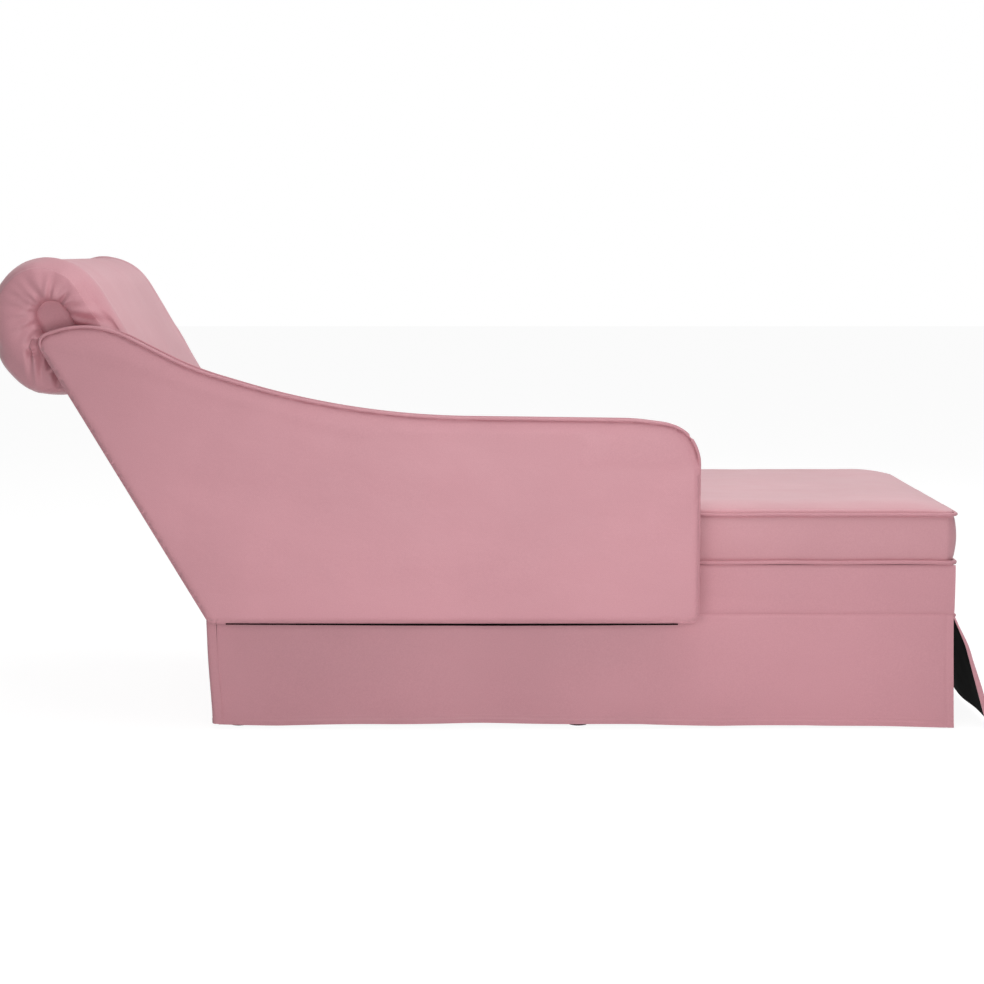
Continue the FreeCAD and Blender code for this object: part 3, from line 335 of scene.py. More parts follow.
def evenly(points, count, closed=False):
    # the same line, cut into equal steps
    line = [Vector(p) for p in points]
    if closed:
        line.append(line[0])
    lengths = [0.0]
    for a, b in zip(line, line[1:]):
        lengths.append(lengths[-1] + (b - a).length)
    out = []
    k = 0
    steps = count if closed else count - 1
    for i in range(count):
        target = lengths[-1] * i / steps
        while k < len(lengths) - 2 and lengths[k + 1] < target:
            k += 1
        part = (target - lengths[k]) / max(1e-9, lengths[k + 1] - lengths[k])
        out.append(line[k].lerp(line[k + 1], min(1, max(0, part))))
    return out


def alone(piece):
    bpy.ops.object.select_all(action="DESELECT")
    piece.select_set(True)
    bpy.context.view_layer.objects.active = piece


def gridPiece(name, across, along, place, joined=False):
    # a sheet of quads, each point put by place(u, v) with u and v from 0 to 1
    bpy.ops.object.select_all(action="DESELECT")
    bpy.ops.mesh.primitive_grid_add(x_subdivisions=across, y_subdivisions=along, size=1)
    piece = bpy.context.active_object
    piece.name = piece.data.name = name
    for vertex in piece.data.vertices:
        vertex.co = place(vertex.co.x + 0.5, vertex.co.y + 0.5)
    if joined:
        joinSeams(piece)
    return piece


def joinSeams(piece, gap=0.00005):
    alone(piece)
    bpy.ops.object.mode_set(mode="EDIT")
    bpy.ops.mesh.select_all(action="SELECT")
    bpy.ops.mesh.remove_doubles(threshold=gap)
    bpy.ops.mesh.normals_make_consistent(inside=False)
    bpy.ops.object.mode_set(mode="OBJECT")


def turnFaces(piece):
    alone(piece)
    bpy.ops.object.mode_set(mode="EDIT")
    bpy.ops.mesh.select_all(action="SELECT")
    bpy.ops.mesh.flip_normals()
    bpy.ops.object.mode_set(mode="OBJECT")


def slabPiece(name, outline, near, far):
    # an outline drawn point by point on the side, filled and pulled out across
    bpy.ops.object.select_all(action="DESELECT")
    bpy.ops.mesh.primitive_circle_add(vertices=len(outline), radius=1, fill_type="NGON")
    piece = bpy.context.active_object
    piece.name = piece.data.name = name
    for vertex, point in zip(piece.data.vertices, outline):
        vertex.co = (point[0], near, point[1])
    bpy.ops.object.mode_set(mode="EDIT")
    bpy.ops.mesh.select_all(action="SELECT")
    bpy.ops.mesh.extrude_region_move(TRANSFORM_OT_translate={"value": (0, far - near, 0)})
    bpy.ops.mesh.select_all(action="SELECT")
    bpy.ops.mesh.normals_make_consistent(inside=False)
    bpy.ops.object.mode_set(mode="OBJECT")
    return piece


def useModifier(piece, kind, **values):
    alone(piece)
    modifier = piece.modifiers.new(kind.lower(), kind)
    for key, value in values.items():
        setattr(modifier, key, value)
    bpy.ops.object.modifier_apply(modifier=modifier.name)


def thicken(piece, thickness, offset=-1):
    useModifier(piece, "SOLIDIFY", thickness=thickness, offset=offset, use_even_offset=True)


def smooth(piece, angle=50):
    alone(piece)
    bpy.ops.object.shade_smooth_by_angle(angle=math.radians(angle))


def dress(piece, material, body, replaced=()):
    piece.data.materials.clear()
    piece.data.materials.append(material)
    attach(piece, body)
    if replaced:
        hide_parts(*replaced)
    return piece


def inflate(piece, voxel, pressure, cap, held, frames=20):
    # voxel remesh, then cloth with inner pressure; held(point) is 1 where the cover is tied
    useModifier(piece, "REMESH", mode="VOXEL", voxel_size=voxel)
    start = [vertex.co.copy() for vertex in piece.data.vertices]
    group = piece.vertex_groups.new(name="tied")
    for index, point in enumerate(start):
        weight = held(point)
        if weight > 0:
            group.add([index], weight, "REPLACE")
    cloth = piece.modifiers.new("cloth", "CLOTH")
    settings = cloth.settings
    settings.quality = 4
    settings.use_pressure = True
    settings.uniform_pressure_force = pressure
    settings.effector_weights.gravity = 0
    settings.tension_stiffness = settings.compression_stiffness = 12
    settings.bending_stiffness = 1.5
    settings.vertex_group_mass = "tied"
    cloth.point_cache.frame_start = 1
    cloth.point_cache.frame_end = frames
    for number in range(1, frames + 1):
        scene.frame_set(number)
    alone(piece)
    bpy.ops.object.modifier_apply(modifier=cloth.name)
    scene.frame_set(1)
    for vertex, before in zip(piece.data.vertices, start):
        move = vertex.co - before
        if move.length > cap:
            vertex.co = before + move * (cap / move.length)


def tubePiece(name, points, radius, closed=True, sides=6):
    # piping: a cord swept along its line
    bpy.ops.object.select_all(action="DESELECT")
    data = bpy.data.curves.new(name, "CURVE")
    data.dimensions = "3D"
    line = data.splines.new("POLY")
    line.points.add(len(points) - 1)
    for point, place in zip(line.points, points):
        point.co = (*place, 1)
    line.use_cyclic_u = closed
    data.bevel_depth = radius
    data.bevel_resolution = sides
    data.use_fill_caps = not closed
    piece = bpy.data.objects.new(name, data)
    scene.collection.objects.link(piece)
    alone(piece)
    bpy.ops.object.convert(target="MESH")
    piece = bpy.context.active_object
    piece.name = piece.data.name = name
    return piece


def wobble(x, y, z, scale):
    return noise.noise(Vector((x, y, z)) * scale)


def ease(value):
    # 0 to 1 with soft ends
    value = min(1, max(0, value))
    return value * value * (3 - 2 * value)


# the back cushion; plane is where its flat ends start, endY where they end up, armLimit keeps
# it behind the arm, and past openLimit only openShare of the swell is left
back = {"voxel": 0.010, "pressure": 4.5, "push": 0.020, "plane": 0.330, "endY": 0.338,
        "front": 0.1262, "bulge": 0.017, "gather": 1.0, "round": 0.060, "crown": 0.011,
        "armLimit": 0.3385, "openLimit": 0.350, "openShare": 0.4, "slide": 0.012}
rollX, rollZ = raked(base["postUp"], base["postOut"])
underZ = rollZ - 0.164
backOutline = roundedOutline([
    (rakedAt(base["postDeep"], base["deck"]), base["deck"], 0.004),
    (rakedAt(back["front"], base["deck"]), base["deck"], 0.012),
    (*raked(0.740, back["front"]), 0.089),
    (rollX - 0.114, rollZ + 0.088, 0.104),
    (rollX - 0.114, rollZ - 0.079, 0.159),
    (rollX - 0.034, underZ, 0.083),
    (rakedAt(-0.0003, underZ), underZ, 0.006),
    (*raked(0.7073, -0.0003), 0.0347),
    (*raked(0.7073, 0.0703), 0.0347),
])
backForm = roundedOutline([
    (rakedAt(0, base["deck"]), base["deck"], 0.004),
    (rakedAt(back["front"], base["deck"]), base["deck"], 0.012),
    (*raked(0.740, back["front"]), 0.089), (rollX - 0.114, rollZ + 0.088, 0.104),
    (rollX - 0.114, rollZ - 0.079, 0.159), (rollX - 0.034, underZ, 0.083),
    (rakedAt(-0.0003, underZ), underZ, 0.004)])
armLine = roundedOutline([
    (rakedAt(0, 0.230), 0.230, 0.016), (0.227, 0.230, 0.016), (0.2268, 0.5680, 0.095),
    (0.191, 0.6137, 0.075), (0.105, 0.6250, 0.400), (-0.4435, 0.632, 1.6),
    (-0.751, 0.724, 0.6), (-0.9335, 0.817, 0.18),
    (*raked(0.636, 0), 0.020),
])


def insideLine(line, x, z):
    # whether a place is inside a closed line
    inside = False
    for a, b in zip(line, line[1:] + line[:1]):
        if (a[1] > z) != (b[1] > z) and x < (b[0] - a[0]) * (z - a[1]) / (b[1] - a[1]) + a[0]:
            inside = not inside
    return inside


def nearestOn(line, x, z):
    # the nearest place on a closed line and how far it is
    starts, ends = lineEnds(line)
    runs = ends - starts
    here = np.array((x, z))
    share = ((here - starts) * runs).sum(1) / np.maximum((runs * runs).sum(1), 1e-12)
    places = starts + runs * np.clip(share, 0, 1)[:, None]
    gaps = np.hypot(*(places - here).T)
    best = gaps.argmin()
    return places[best], gaps[best]


lineCache = {}  # the ends of each line's runs, kept so that they are worked out once


def lineEnds(line):
    key = id(line)
    if key not in lineCache:
        starts = np.array([tuple(point) for point in line])
        lineCache[key] = (starts, np.roll(starts, -1, axis=0))
    return lineCache[key]


def nearLine(line, x, z):
    return nearestOn(line, x, z)[1]


# creases that gather the cloth round the facing
creases = [  # start, end, depth, half width
    ((-1.052, 0.880), (-1.040, 0.846), 0.006, 0.005),
    ((-1.020, 0.905), (-1.031, 0.850), 0.004, 0.005),
    ((-0.990, 0.872), (-1.016, 0.836), 0.009, 0.005),
    ((-0.985, 0.852), (-1.010, 0.832), 0.004, 0.004),
    ((-0.925, 0.810), (-1.000, 0.826), 0.005, 0.006),
    ((-0.945, 0.845), (-1.002, 0.832), 0.003, 0.006),
    ((-1.118, 0.842), (-1.058, 0.838), 0.004, 0.006),
    ((-1.100, 0.812), (-1.060, 0.828), 0.005, 0.006),
    ((-1.110, 0.868), (-1.056, 0.846), 0.003, 0.006),
    ((-1.083, 0.903), (-1.048, 0.853), 0.002, 0.006),
    ((-1.066, 0.695), (-1.066, 0.752), 0.012, 0.005),
    ((-1.046, 0.685), (-1.048, 0.765), 0.026, 0.006),
    ((-1.032, 0.676), (-1.035, 0.738), 0.022, 0.006),
    ((-1.018, 0.672), (-1.021, 0.710), 0.020, 0.006),
    ((-1.092, 0.785), (-1.058, 0.806), 0.004, 0.006),
    ((-1.078, 0.740), (-1.060, 0.790), 0.004, 0.006),
]


def creaseDepth(x, z):
    # how far the creases draw the cloth in at a place
    depth = 0
    here = Vector((x, z))
    for first, last, deep, wide in creases:
        a, b = Vector(first), Vector(last)
        run = b - a
        share = min(1, max(0, (here - a).dot(run) / run.dot(run)))
        away = (a + run * share - here).length / wide
        if away < 3:  # deepest near the facing, fading outwards, with a soft ridge on both sides
            depth += deep * (math.exp(-away * away) - 0.28 * math.exp(-(away - 2) ** 2)) \
                * (0.15 + 0.85 * share)
    return depth


def postTop(x, z):
    # how far a place is from the line up the middle of the facing
    up, out = onRake(x, z)
    return math.hypot(max(0, up - base["postUp"]), out - base["postOut"])


backCushion = slabPiece("backCushion", backOutline, -back["plane"], back["plane"])


def backHeld(point):
    # tied at the seat and the facings, and half held down the front
    up, out = onRake(point.x, point.z)
    if point.z < 0.345 or postTop(point.x, point.z) < 0.040 and abs(point.y) < 0.32:
        return 1
    if out > 0.02 and abs(point.y) < 0.30:
        return 0.75
    return 0.0


inflate(backCushion, back["voxel"], back["pressure"], back["push"], backHeld)
useModifier(backCushion, "SUBSURF", levels=1, render_levels=1)
useModifier(backCushion, "SMOOTH", factor=0.5, iterations=12)
for face in backCushion.data.polygons:
    face.select = abs(face.center.y) > 0.300 and onRake(face.center.x, face.center.z)[0] > 0.44
bpy.ops.object.mode_set(mode="EDIT")
bpy.ops.mesh.subdivide(number_cuts=1, smoothness=0)
bpy.ops.object.mode_set(mode="OBJECT")
for vertex in backCushion.data.vertices:
    x, y, z = vertex.co
    side = 1 if y > 0 else -1
    up, out = onRake(x, z)
    edge = nearLine(backForm, x, z)
    post = postTop(x, z)
    high = ease((up - 0.45) / 0.15)
    covered = side < 0 and insideLine(armLine, x, z)
    free = 0.0 if covered else 1.0
    if side < 0 and free:
        free = ease(nearLine(armLine, x, z) / 0.03)
    tip = back["plane"] - abs(y)  # distance from the end plane
    skin = edge < 0.012 and post > 0.045 and not (0 < out < base["postDeep"] and up < 0.7)
    end = ease((0.030 - tip) / 0.012)  # 1 on the end faces
    if skin and tip < back["round"]:
        # the long faces turn over towards the ends in a wide soft round
        turn = (1 - max(0, tip) / back["round"]) * math.pi / 4
        under = ease((rollZ - 0.04 - z) / 0.06) * high
        rear = ease((rollX + 0.02 - x) / 0.05) * high
        reach = (0.35 + 0.65 * high) * back["round"] * (1 - math.cos(turn))
        reach *= 1 - 0.75 * max(under, 0.7 * rear)
        puff = 0.004 * math.exp(-((tip - 0.050) / 0.022) ** 2) * high + 0.005 * under * rear \
            + 0.003 * max(under, rear)
        if up > 0.55:
            rollMiddle = Vector(raked(base["postUp"], base["postOut"]))
        else:
            rollMiddle = Vector(raked(max(up, 0), 0.09))
        inward = (rollMiddle - Vector((x, z))).normalized()
        if up <= 0.55 and out > 0.09:
            inward = Vector((-leanCos, -leanSin))
        x += inward[0] * (reach - puff)
        z += inward[1] * (reach - puff)
    bulge = (0.003 + back["bulge"] * high * (1 - 0.45 * ease((out - 0.05) / 0.04))) \
        * (free if side < 0 else 1)
    shoulder = 1 - min(1, edge / back["round"])
    swell = bulge - (0.35 + 0.65 * high) * 0.022 * (1 - math.sqrt(max(0, 1 - shoulder ** 2)))
    if end > 0 and high > 0:
        # the cloth closes in over the rim of the facing
        closing = ease((0.085 - post) / 0.045) * high * end
        if post > 0.02:
            away = Vector((x, z)) - Vector(raked(min(up, base["postUp"]), base["postOut"]))
            x -= away[0] / max(post, 0.01) * 0.006 * closing
            z -= away[1] / max(post, 0.01) * 0.006 * closing
            slide = back["slide"] * closing * ease((up - 0.56) / 0.14)
            x += leanSin * slide
            z -= leanCos * slide
        lip = 1 - min(1, max(0, post - 0.034) / 0.020)
        swell -= 0.013 * high * (1 - math.sqrt(max(0, 1 - lip ** 2)))
    pit = math.hypot((x + 1.047) / 0.007, (z - 0.786) / 0.020)
    gather = creaseDepth(x, z) * back["gather"] + 0.016 * math.exp(-pit * pit) * end
    if up > 0.6:
        fan = math.sin(math.atan2(z - rollZ, x - rollX) * 17 + side * 1.3
                       + wobble(x, side, z, 9) * 2.5)
        gather += 0.0011 * fan * math.exp(-((post - 0.052) / 0.022) ** 2)
    unevenness = 0.0016 * wobble(x, side * 3, z, 14) * high
    pleats = 1.0  # the creases run right up to the arm and stop behind it
    if side < 0:
        pleats = 0.0 if covered else ease(nearLine(armLine, x, z) / 0.005)
    goal = back["endY"] - 0.001 + swell + unevenness * (free if side < 0 else 1) - gather * pleats
    outer = abs(y) + (goal - back["plane"]) * end
    if side < 0 and free < 1:
        outer = min(outer, back["armLimit"] + 0.02 * free)
    if side > 0 and outer > back["openLimit"]:
        outer = back["openLimit"] + (outer - back["openLimit"]) * back["openShare"]
    vertex.co = (x, side * outer, z)
    if end < 1 and out > 0.09:
        crown = back["crown"] * (1 - min(1, abs(y) / 0.338) ** 5) * ease((z - 0.455) / 0.12)
        crown *= 1 - ease((up - 0.66) / 0.08)
        vertex.co.x += leanCos * crown
        vertex.co.z += leanSin * crown
        ripple = (0.0012 * wobble(x, y * 0.9, z, 4) + 0.0006 * wobble(x, y * 2, z, 9)) * (1 - end)
        vertex.co.x += leanCos * ripple
        vertex.co.z += leanSin * ripple
# softens the turn from the ends to the long faces
softened = backCushion.vertex_groups.new(name="softened")
for index, vertex in enumerate(backCushion.data.vertices):
    x, y, z = vertex.co
    weight = ease((postTop(x, z) - 0.062) / 0.02) * ease((abs(y) - 0.25) / 0.03) \
        * ease((onRake(x, z)[0] - 0.44) / 0.05)
    if weight > 0:
        softened.add([index], weight, "REPLACE")
useModifier(backCushion, "SMOOTH", factor=0.5, iterations=18, vertex_group="softened")
smooth(backCushion, 70)
dress(backCushion, roseCloth, "frame", ["back_cushion"])
print("stage 4: back cushion, faces", len(backCushion.data.polygons))

# the facings beside the posts and the outside back
facing = {"wide": 0.0693, "thick": 0.0038, "inner": 0.3287, "dome": 0.0040}


def facingPiece(name, side):
    half = facing["wide"] / 2
    low, high = 0.0006, base["postUp"] + half

    def place(u, v):
        up = low + math.sin(v * math.pi / 2) * (high - low)
        past = max(0, up - base["postUp"])
        wide = math.sqrt(max(0, half ** 2 - past ** 2)) if past > 0 else half
        across = math.sin((u - 0.5) * math.pi)
        out = base["postOut"] + across * wide
        x, z = raked(up, out)
        if up < 0.06:
            share = up / 0.06
            x, z = rakedAt(out, 0.2340 + share * 0.052), 0.2340 + share * 0.052
        rim = min(wide * (1 - abs(across)), high - up)
        dome = facing["dome"] * ease(rim / 0.014) - 0.002 * (1 - ease(rim / 0.004))
        ripple = 0.0006 * wobble(x, side, z, 22)
        return (x, side * (facing["inner"] + facing["thick"] + dome + ripple), z)
    piece = gridPiece(name, 40, 160, place, joined=True)
    alone(piece)
    thicken(piece, 0.004, -1 if piece.data.polygons[1500].normal.y * side > 0 else 1)
    smooth(piece, 60)
    return piece


for name, side, node in (("facingArm", -1, "facing_arm"), ("facingOpen", 1, "facing_open")):
    piece = facingPiece(name, side)
    dress(piece, roseCloth, "frame", [node])

outside = {"half": 0.3280, "thick": 0.0016, "top": rollZ - 0.168}


def outsidePlace(u, v):
    y = (u - 0.5) * 2 * outside["half"]
    z = base["seam"] - 0.002 + v * (outside["top"] - base["seam"] + 0.002)
    x = rakedAt(0.0002, z)
    if z < base["seam"] + 0.026:
        low = base["backX"] - 0.0158
        share = max(0, z - base["seam"]) / 0.026
        x = low * (1 - share) + rakedAt(0.0002, base["seam"] + 0.026) * share
    x += 0.0002 + 0.0007 * wobble(u * 4, v * 3, 0.3, 1.6) * math.sin(math.pi * u) \
        * math.sin(math.pi * v)
    return (x, y, z)


outsideBack = gridPiece("outsideBack", 60, 60, outsidePlace)
thicken(outsideBack, outside["thick"], 0)
smooth(outsideBack)
dress(outsideBack, roseCloth, "frame", ["outside_back_cloth"])
print("stage 5: facings and outside back")

# the arm
arm = {"inner": -0.3415, "outer": -0.4155, "voxel": 0.0095, "pressure": 3.5, "push": 0.005,
       "cord": 0.003, "innerSeam": -0.344, "outerSeam": -0.414, "roll": 0.048, "rise": 0.0105,
       "sunk": -0.4085, "lean": 0.0042, "shell": -0.395}


def drawnIn(line, depth):
    # the same closed outline, moved inwards by depth
    moved = []
    count = len(line)
    for i, here in enumerate(line):
        run = (line[(i + 1) % count] - line[i - 1]).normalized()
        moved.append(here + Vector((-run.y, run.x)) * depth)
    return moved


armEven = evenly(armLine, 260, closed=True)
armCover = slabPiece("armCover", drawnIn(armEven, 0.002),
                     arm["inner"] - 0.002, arm["outer"] + 0.002)
middleY = (arm["inner"] + arm["outer"]) / 2


def armHeld(point):
    if point.y > arm["inner"] - 0.006:
        return 1
    onSeam = nearLine(armEven, point.x, point.z) < 0.006 and abs(point.y - middleY) > 0.028
    return 1 if onSeam else 0


inflate(armCover, arm["voxel"], arm["pressure"], arm["push"], armHeld)
useModifier(armCover, "SUBSURF", levels=1, render_levels=1)
useModifier(armCover, "SMOOTH", factor=0.5, iterations=3)


def innerDrop(x, y, z):
    # the top band leans down a little towards the seat
    return topShare(x, z) * ease((y + 0.405) / 0.06)


def topShare(x, z):
    # 1 along the swept top of the arm, 0 along its rear, bottom and lower front edges
    along = ease((x + 1.075) / 0.03)
    level = 0.560 if x > 0 else 0.615 + max(0, -0.45 - x) * 0.30
    return along * ease((z - level + 0.035) / 0.035)


armEdge = drawnIn(armEven, 0.0011)
for vertex in armCover.data.vertices:
    x, y, z = vertex.co
    if nearLine(armEven, x, z) < 0.0065 and abs(y - middleY) < 0.0345:
        x, z = nearestOn(armEdge, x, z)[0]  # the band lies just inside the piping
        vertex.co.x, vertex.co.z = x, z
    if y < arm["shell"]:  # the outer panel, domed towards its middle
        edge = nearLine(armEven, x, z)
        top = topShare(x, z)
        wide = arm["roll"] * (0.3 + 0.7 * top)
        inward = 1 - min(1, edge / wide)
        dome = arm["rise"] * (0.6 + 0.4 * top) * (math.sqrt(max(0, 1 - inward ** 2)) - 0.62)
        share = ease((arm["shell"] - y) / 0.012)
        unevenness = 0.0010 * wobble(x, 0, z * 1.4, 5) + 0.0005 * wobble(x * 1.3, 3, z * 2, 12)
        goal = arm["outer"] - dome - unevenness * ease(edge / 0.05) + 0.0012
        vertex.co.y = y * (1 - share) + goal * share
    vertex.co.y = min(vertex.co.y, arm["inner"] - 0.0002)
    vertex.co.z -= arm["lean"] * innerDrop(x, y, z)
smooth(armCover, 70)
dress(armCover, roseCloth, "frame",
      ["arm_panel_inner", "arm_panel_outer", "arm_band", "arm_padding_inner",
       "arm_padding_outer", "arm_padding_edge"])


def pipingRound(name, line, place, radius, slotNodes, body, waves=0.0004):
    points = []
    for i, point in enumerate(line):
        x, y, z = place(point)
        points.append((x, y + waves * noise.noise(Vector((x * 23, z * 23, i * 0.01))), z))
    piece = tubePiece(name, points, radius, sides=3)
    smooth(piece, 80)
    dress(piece, pipingCloth, body, slotNodes)
    return piece


armRound = drawnIn(evenly(armLine, 420, closed=True), 0.0006)


def innerCord(point):
    return (point[0], arm["innerSeam"],
            point[1] - arm["lean"] * innerDrop(point[0], arm["innerSeam"], point[1]))


pipingRound("armPipingInner", armRound, innerCord, arm["cord"],
            ["arm_piping_inner"], "frame")


def outerCord(point):
    # proud of the panel along the top, drawn under its edge elsewhere
    share = topShare(point[0], point[1] + 0.004)
    return (point[0], arm["sunk"] + (arm["outerSeam"] - arm["sunk"]) * share, point[1])


pipingRound("armPipingOuter", armRound, outerCord, arm["cord"], ["arm_piping_outer"], "frame")
# the black sheet under the arm is painted shade: it darkens the gap between the arm and the skirt,
# where shade falls
armUnder = {"first": -0.690, "last": 0.188, "near": -0.4125, "far": -0.3455, "top": 0.2301,
            "drop": 0.0046}


def underPlace(u, v):
    # a black sheet hanging a little slack below the underside: painted shade standing in for the
    # dark gap under the arm
    x = armUnder["first"] + u * (armUnder["last"] - armUnder["first"])
    y = armUnder["far"] + v * (armUnder["near"] - armUnder["far"])
    slack = 0.45 + 0.55 * math.sin(math.pi * (0.06 + 0.80 * u)) + 0.1 * wobble(x, y * 2, 0, 9)
    return (x, y, armUnder["top"] - armUnder["drop"] * slack)


armUnderShadeSheet = gridPiece("armUnderShadeSheet", 120, 12, underPlace)
thicken(armUnderShadeSheet, armUnder["drop"] * 0.5, 0)
smooth(armUnderShadeSheet)
# painted shade under the arm, made in the black lining cloth
dress(armUnderShadeSheet, liningCloth, "frame")
print("stage 6: arm")

# the loose seat cushion
seat = {"low": 0.3321, "high": 0.4385, "crown": 0.0145, "half": 0.3370, "foot": 0.7425,
        "head": 0.129, "corner": 0.016, "voxel": 0.0105, "pressure": 3.5, "push": 0.007,
        "lowSeam": 0.3351, "highSeam": 0.4315, "bulge": 0.0028}


def seatHeadX(z, grow=0.0):
    return rakedAt(seat["head"] - grow, z)


def planLine(grow, z):
    # the cushion's outline from above at a height z
    corner = seat["corner"]
    half, foot, head = seat["half"] + grow, seat["foot"] + grow, seatHeadX(z, grow)
    return roundedOutline([(head, -half, corner), (foot, -half, corner), (foot, half, corner),
                           (head, half, corner)], step=0.004)


bpy.ops.object.select_all(action="DESELECT")
bpy.ops.mesh.primitive_cube_add(size=1)
seatCushion = bpy.context.active_object
seatCushion.name = seatCushion.data.name = "seatCushion"
for vertex in seatCushion.data.vertices:
    z = seat["low"] if vertex.co.z < 0 else seat["high"] + 0.002
    y = math.copysign(seat["half"] - 0.001, vertex.co.y)
    x = seat["foot"] - 0.001 if vertex.co.x > 0 else seatHeadX(z, -0.002)
    vertex.co = (x, y, z)
bpy.ops.object.mode_set(mode="EDIT")
bpy.ops.mesh.select_mode(type="EDGE")
bpy.ops.mesh.select_all(action="DESELECT")
bpy.ops.object.mode_set(mode="OBJECT")
for edge in seatCushion.data.edges:
    low, high = (seatCushion.data.vertices[i].co for i in edge.vertices)
    edge.select = abs(low.z - high.z) > 0.05
bpy.ops.object.mode_set(mode="EDIT")
bpy.ops.mesh.bevel(offset=seat["corner"], segments=6, affect="EDGES")
bpy.ops.object.mode_set(mode="OBJECT")


def seatHeld(point):
    if point.z < seat["low"] + 0.012:
        return 1
    return 0.9 if abs(point.z - seat["highSeam"]) < 0.008 else 0


def shoulderOf(gap, wide):
    # rises steeply from the seam and flattens towards the middle
    share = 1 - min(1, max(0, gap) / wide)
    return 0.25 + 0.75 * (1 - share ** 2.4) if gap > 0.004 else 0.25 * max(0, gap) / 0.004


inflate(seatCushion, seat["voxel"], seat["pressure"], seat["push"], seatHeld)
useModifier(seatCushion, "SUBSURF", levels=1, render_levels=1)
useModifier(seatCushion, "SMOOTH", factor=0.5, iterations=3)
for vertex in seatCushion.data.vertices:
    x, y, z = vertex.co
    head = seatHeadX(z)
    if z > seat["highSeam"]:
        side = seat["half"] - abs(y)
        foot = seat["foot"] - x
        rise = seat["high"] + seat["crown"] - seat["highSeam"] - 0.0015
        form = shoulderOf(side, 0.085) * shoulderOf(foot, 0.110) * shoulderOf(x - head + 0.02, 0.04)
        puff = 0.0011 * wobble(x, y, 0, 6) + 0.0006 * wobble(x * 1.5, y * 2.5, 1, 9)
        share = ease((z - seat["highSeam"]) / 0.003)
        goal = seat["highSeam"] + 0.0015 + rise * form + puff * form
        vertex.co.z = z * (1 - share) + goal * share
    elif z > seat["low"] + 0.006:
        between = (z - seat["lowSeam"]) / (seat["highSeam"] - seat["lowSeam"])
        bow = math.sin(math.pi * min(1, max(0, between)))
        pucker = 0.0009 * wobble(x * 1.2, y * 1.2, z * 0.35, 16) * bow
        seam = math.exp(-((z - seat["highSeam"]) / 0.004) ** 2) \
            + math.exp(-((z - seat["lowSeam"] - 0.001) / 0.005) ** 2)
        out = seat["bulge"] * bow + pucker - 0.0012 - 0.0018 * seam
        if abs(y) > seat["half"] - 0.008:
            vertex.co.y = math.copysign(min(abs(y), seat["half"] - 0.001) + out, y)
        if x > seat["foot"] - 0.008:
            vertex.co.x = min(x, seat["foot"] - 0.001) + out + 0.003 * bow
    reach = seatHeadX(vertex.co.z, 0.002)
    vertex.co.x = max(vertex.co.x, reach)
smooth(seatCushion, 60)
dress(seatCushion, seatCloth, "seat_cushion",
      ["seat_top", "seat_border", "seat_bottom_cloth", "seat_foam"])
for name, level, node, radius in (("seatPipingTop", seat["highSeam"], "seat_piping_top", 0.0033),
                                  ("seatPipingLow", seat["lowSeam"] + 0.0014,
                                   "seat_piping_bottom", 0.0043)):
    line = evenly(planLine(0.0006, level), 520, closed=True)
    # pressed in where the cushion passes the arm, so it lifts out freely
    points = [(p[0], max(p[1], -0.3362 - 0.0014 * ease((p[0] - 0.235) / 0.03)),
               level + 0.0012 * wobble(p[0] * 4, p[1] * 4, level * 9, 2.2)) for p in line]
    piece = tubePiece(name, points, radius, sides=3)
    smooth(piece, 80)
    dress(piece, pipingCloth, "seat_cushion", [node])
print("stage 7: seat cushion, faces", len(seatCushion.data.polygons))

# the padded border round the base, and the deck
border = {"low": 0.2337, "high": 0.3312, "bulge": 0.0016, "in": 0.3288, "face": 0.3384,
          "footFace": 0.7408, "deep": 0.0085}


def borderSwell(v, x):
    bow = math.sin(math.pi * v) ** 0.7 if 0 < v < 1 else 0
    return border["bulge"] * bow - 0.0016 * (1 - ease(min(v, 1 - v) / 0.06)) \
        + 0.0006 * wobble(x * 1.5, v * 0.4, 2.0, 12) * bow


def sideBorder(name, side):
    def place(u, v):
        z = border["low"] + v * (border["high"] - border["low"])
        headX = rakedAt(base["postDeep"], z) + 0.0004
        x = headX + u * (base["foot"] + 0.0008 - headX)
        return (x, side * (border["face"] + borderSwell(v, x)), z)
    piece = gridPiece(name, 240, 24, place)
    if side > 0:
        turnFaces(piece)
    thicken(piece, border["deep"], -1)
    smooth(piece)
    return piece


def footBorderPlace(u, v):
    y = (u - 0.5) * 2 * (border["in"] - 0.0005)
    z = border["low"] + v * (border["high"] - border["low"])
    return (border["footFace"] + borderSwell(v, y), y, z)


borderArm = sideBorder("borderArm", -1)
borderOpen = sideBorder("borderOpen", 1)
borderFoot = gridPiece("borderFoot", 110, 24, footBorderPlace)
thicken(borderFoot, border["deep"], -1)
smooth(borderFoot)
for piece, nodes in ((borderArm, ["border_arm", "border_padding"]), (borderOpen, ["border_open"]),
                     (borderFoot, ["border_foot"])):
    dress(piece, roseCloth, "frame", nodes)

deck = {"high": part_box("deck_cloth")[1][2], "foot": 0.7290, "half": 0.3282, "deep": 0.0055}


def deckPlace(u, v):
    head = rakedAt(base["postDeep"], deck["high"])
    x = head + 0.001 + u * (deck["foot"] - head)
    y = (v - 0.5) * 2 * deck["half"]
    dip = 0.0015 * math.sin(math.pi * u) * math.sin(math.pi * v) + 0.0004 * wobble(x, y, 0, 8)
    return (x, y, deck["high"] - 0.0004 - abs(dip))


deckCover = gridPiece("deckCover", 120, 60, deckPlace)
thicken(deckCover, deck["deep"], -1)
smooth(deckCover)
dress(deckCover, deckCloth, "frame", ["deck_cloth", "deck_pad"])
print("stage 8: border and deck")

# the skirt
skirt = {"top": 0.2336, "hem": 0.0095, "thick": 0.0018, "fold": 0.016, "stitch": 0.0125,
         "wave": 0.0030, "tuck": 0.006, "face": 0.3386, "corner": 0.006, "headTurn": 0.0175}

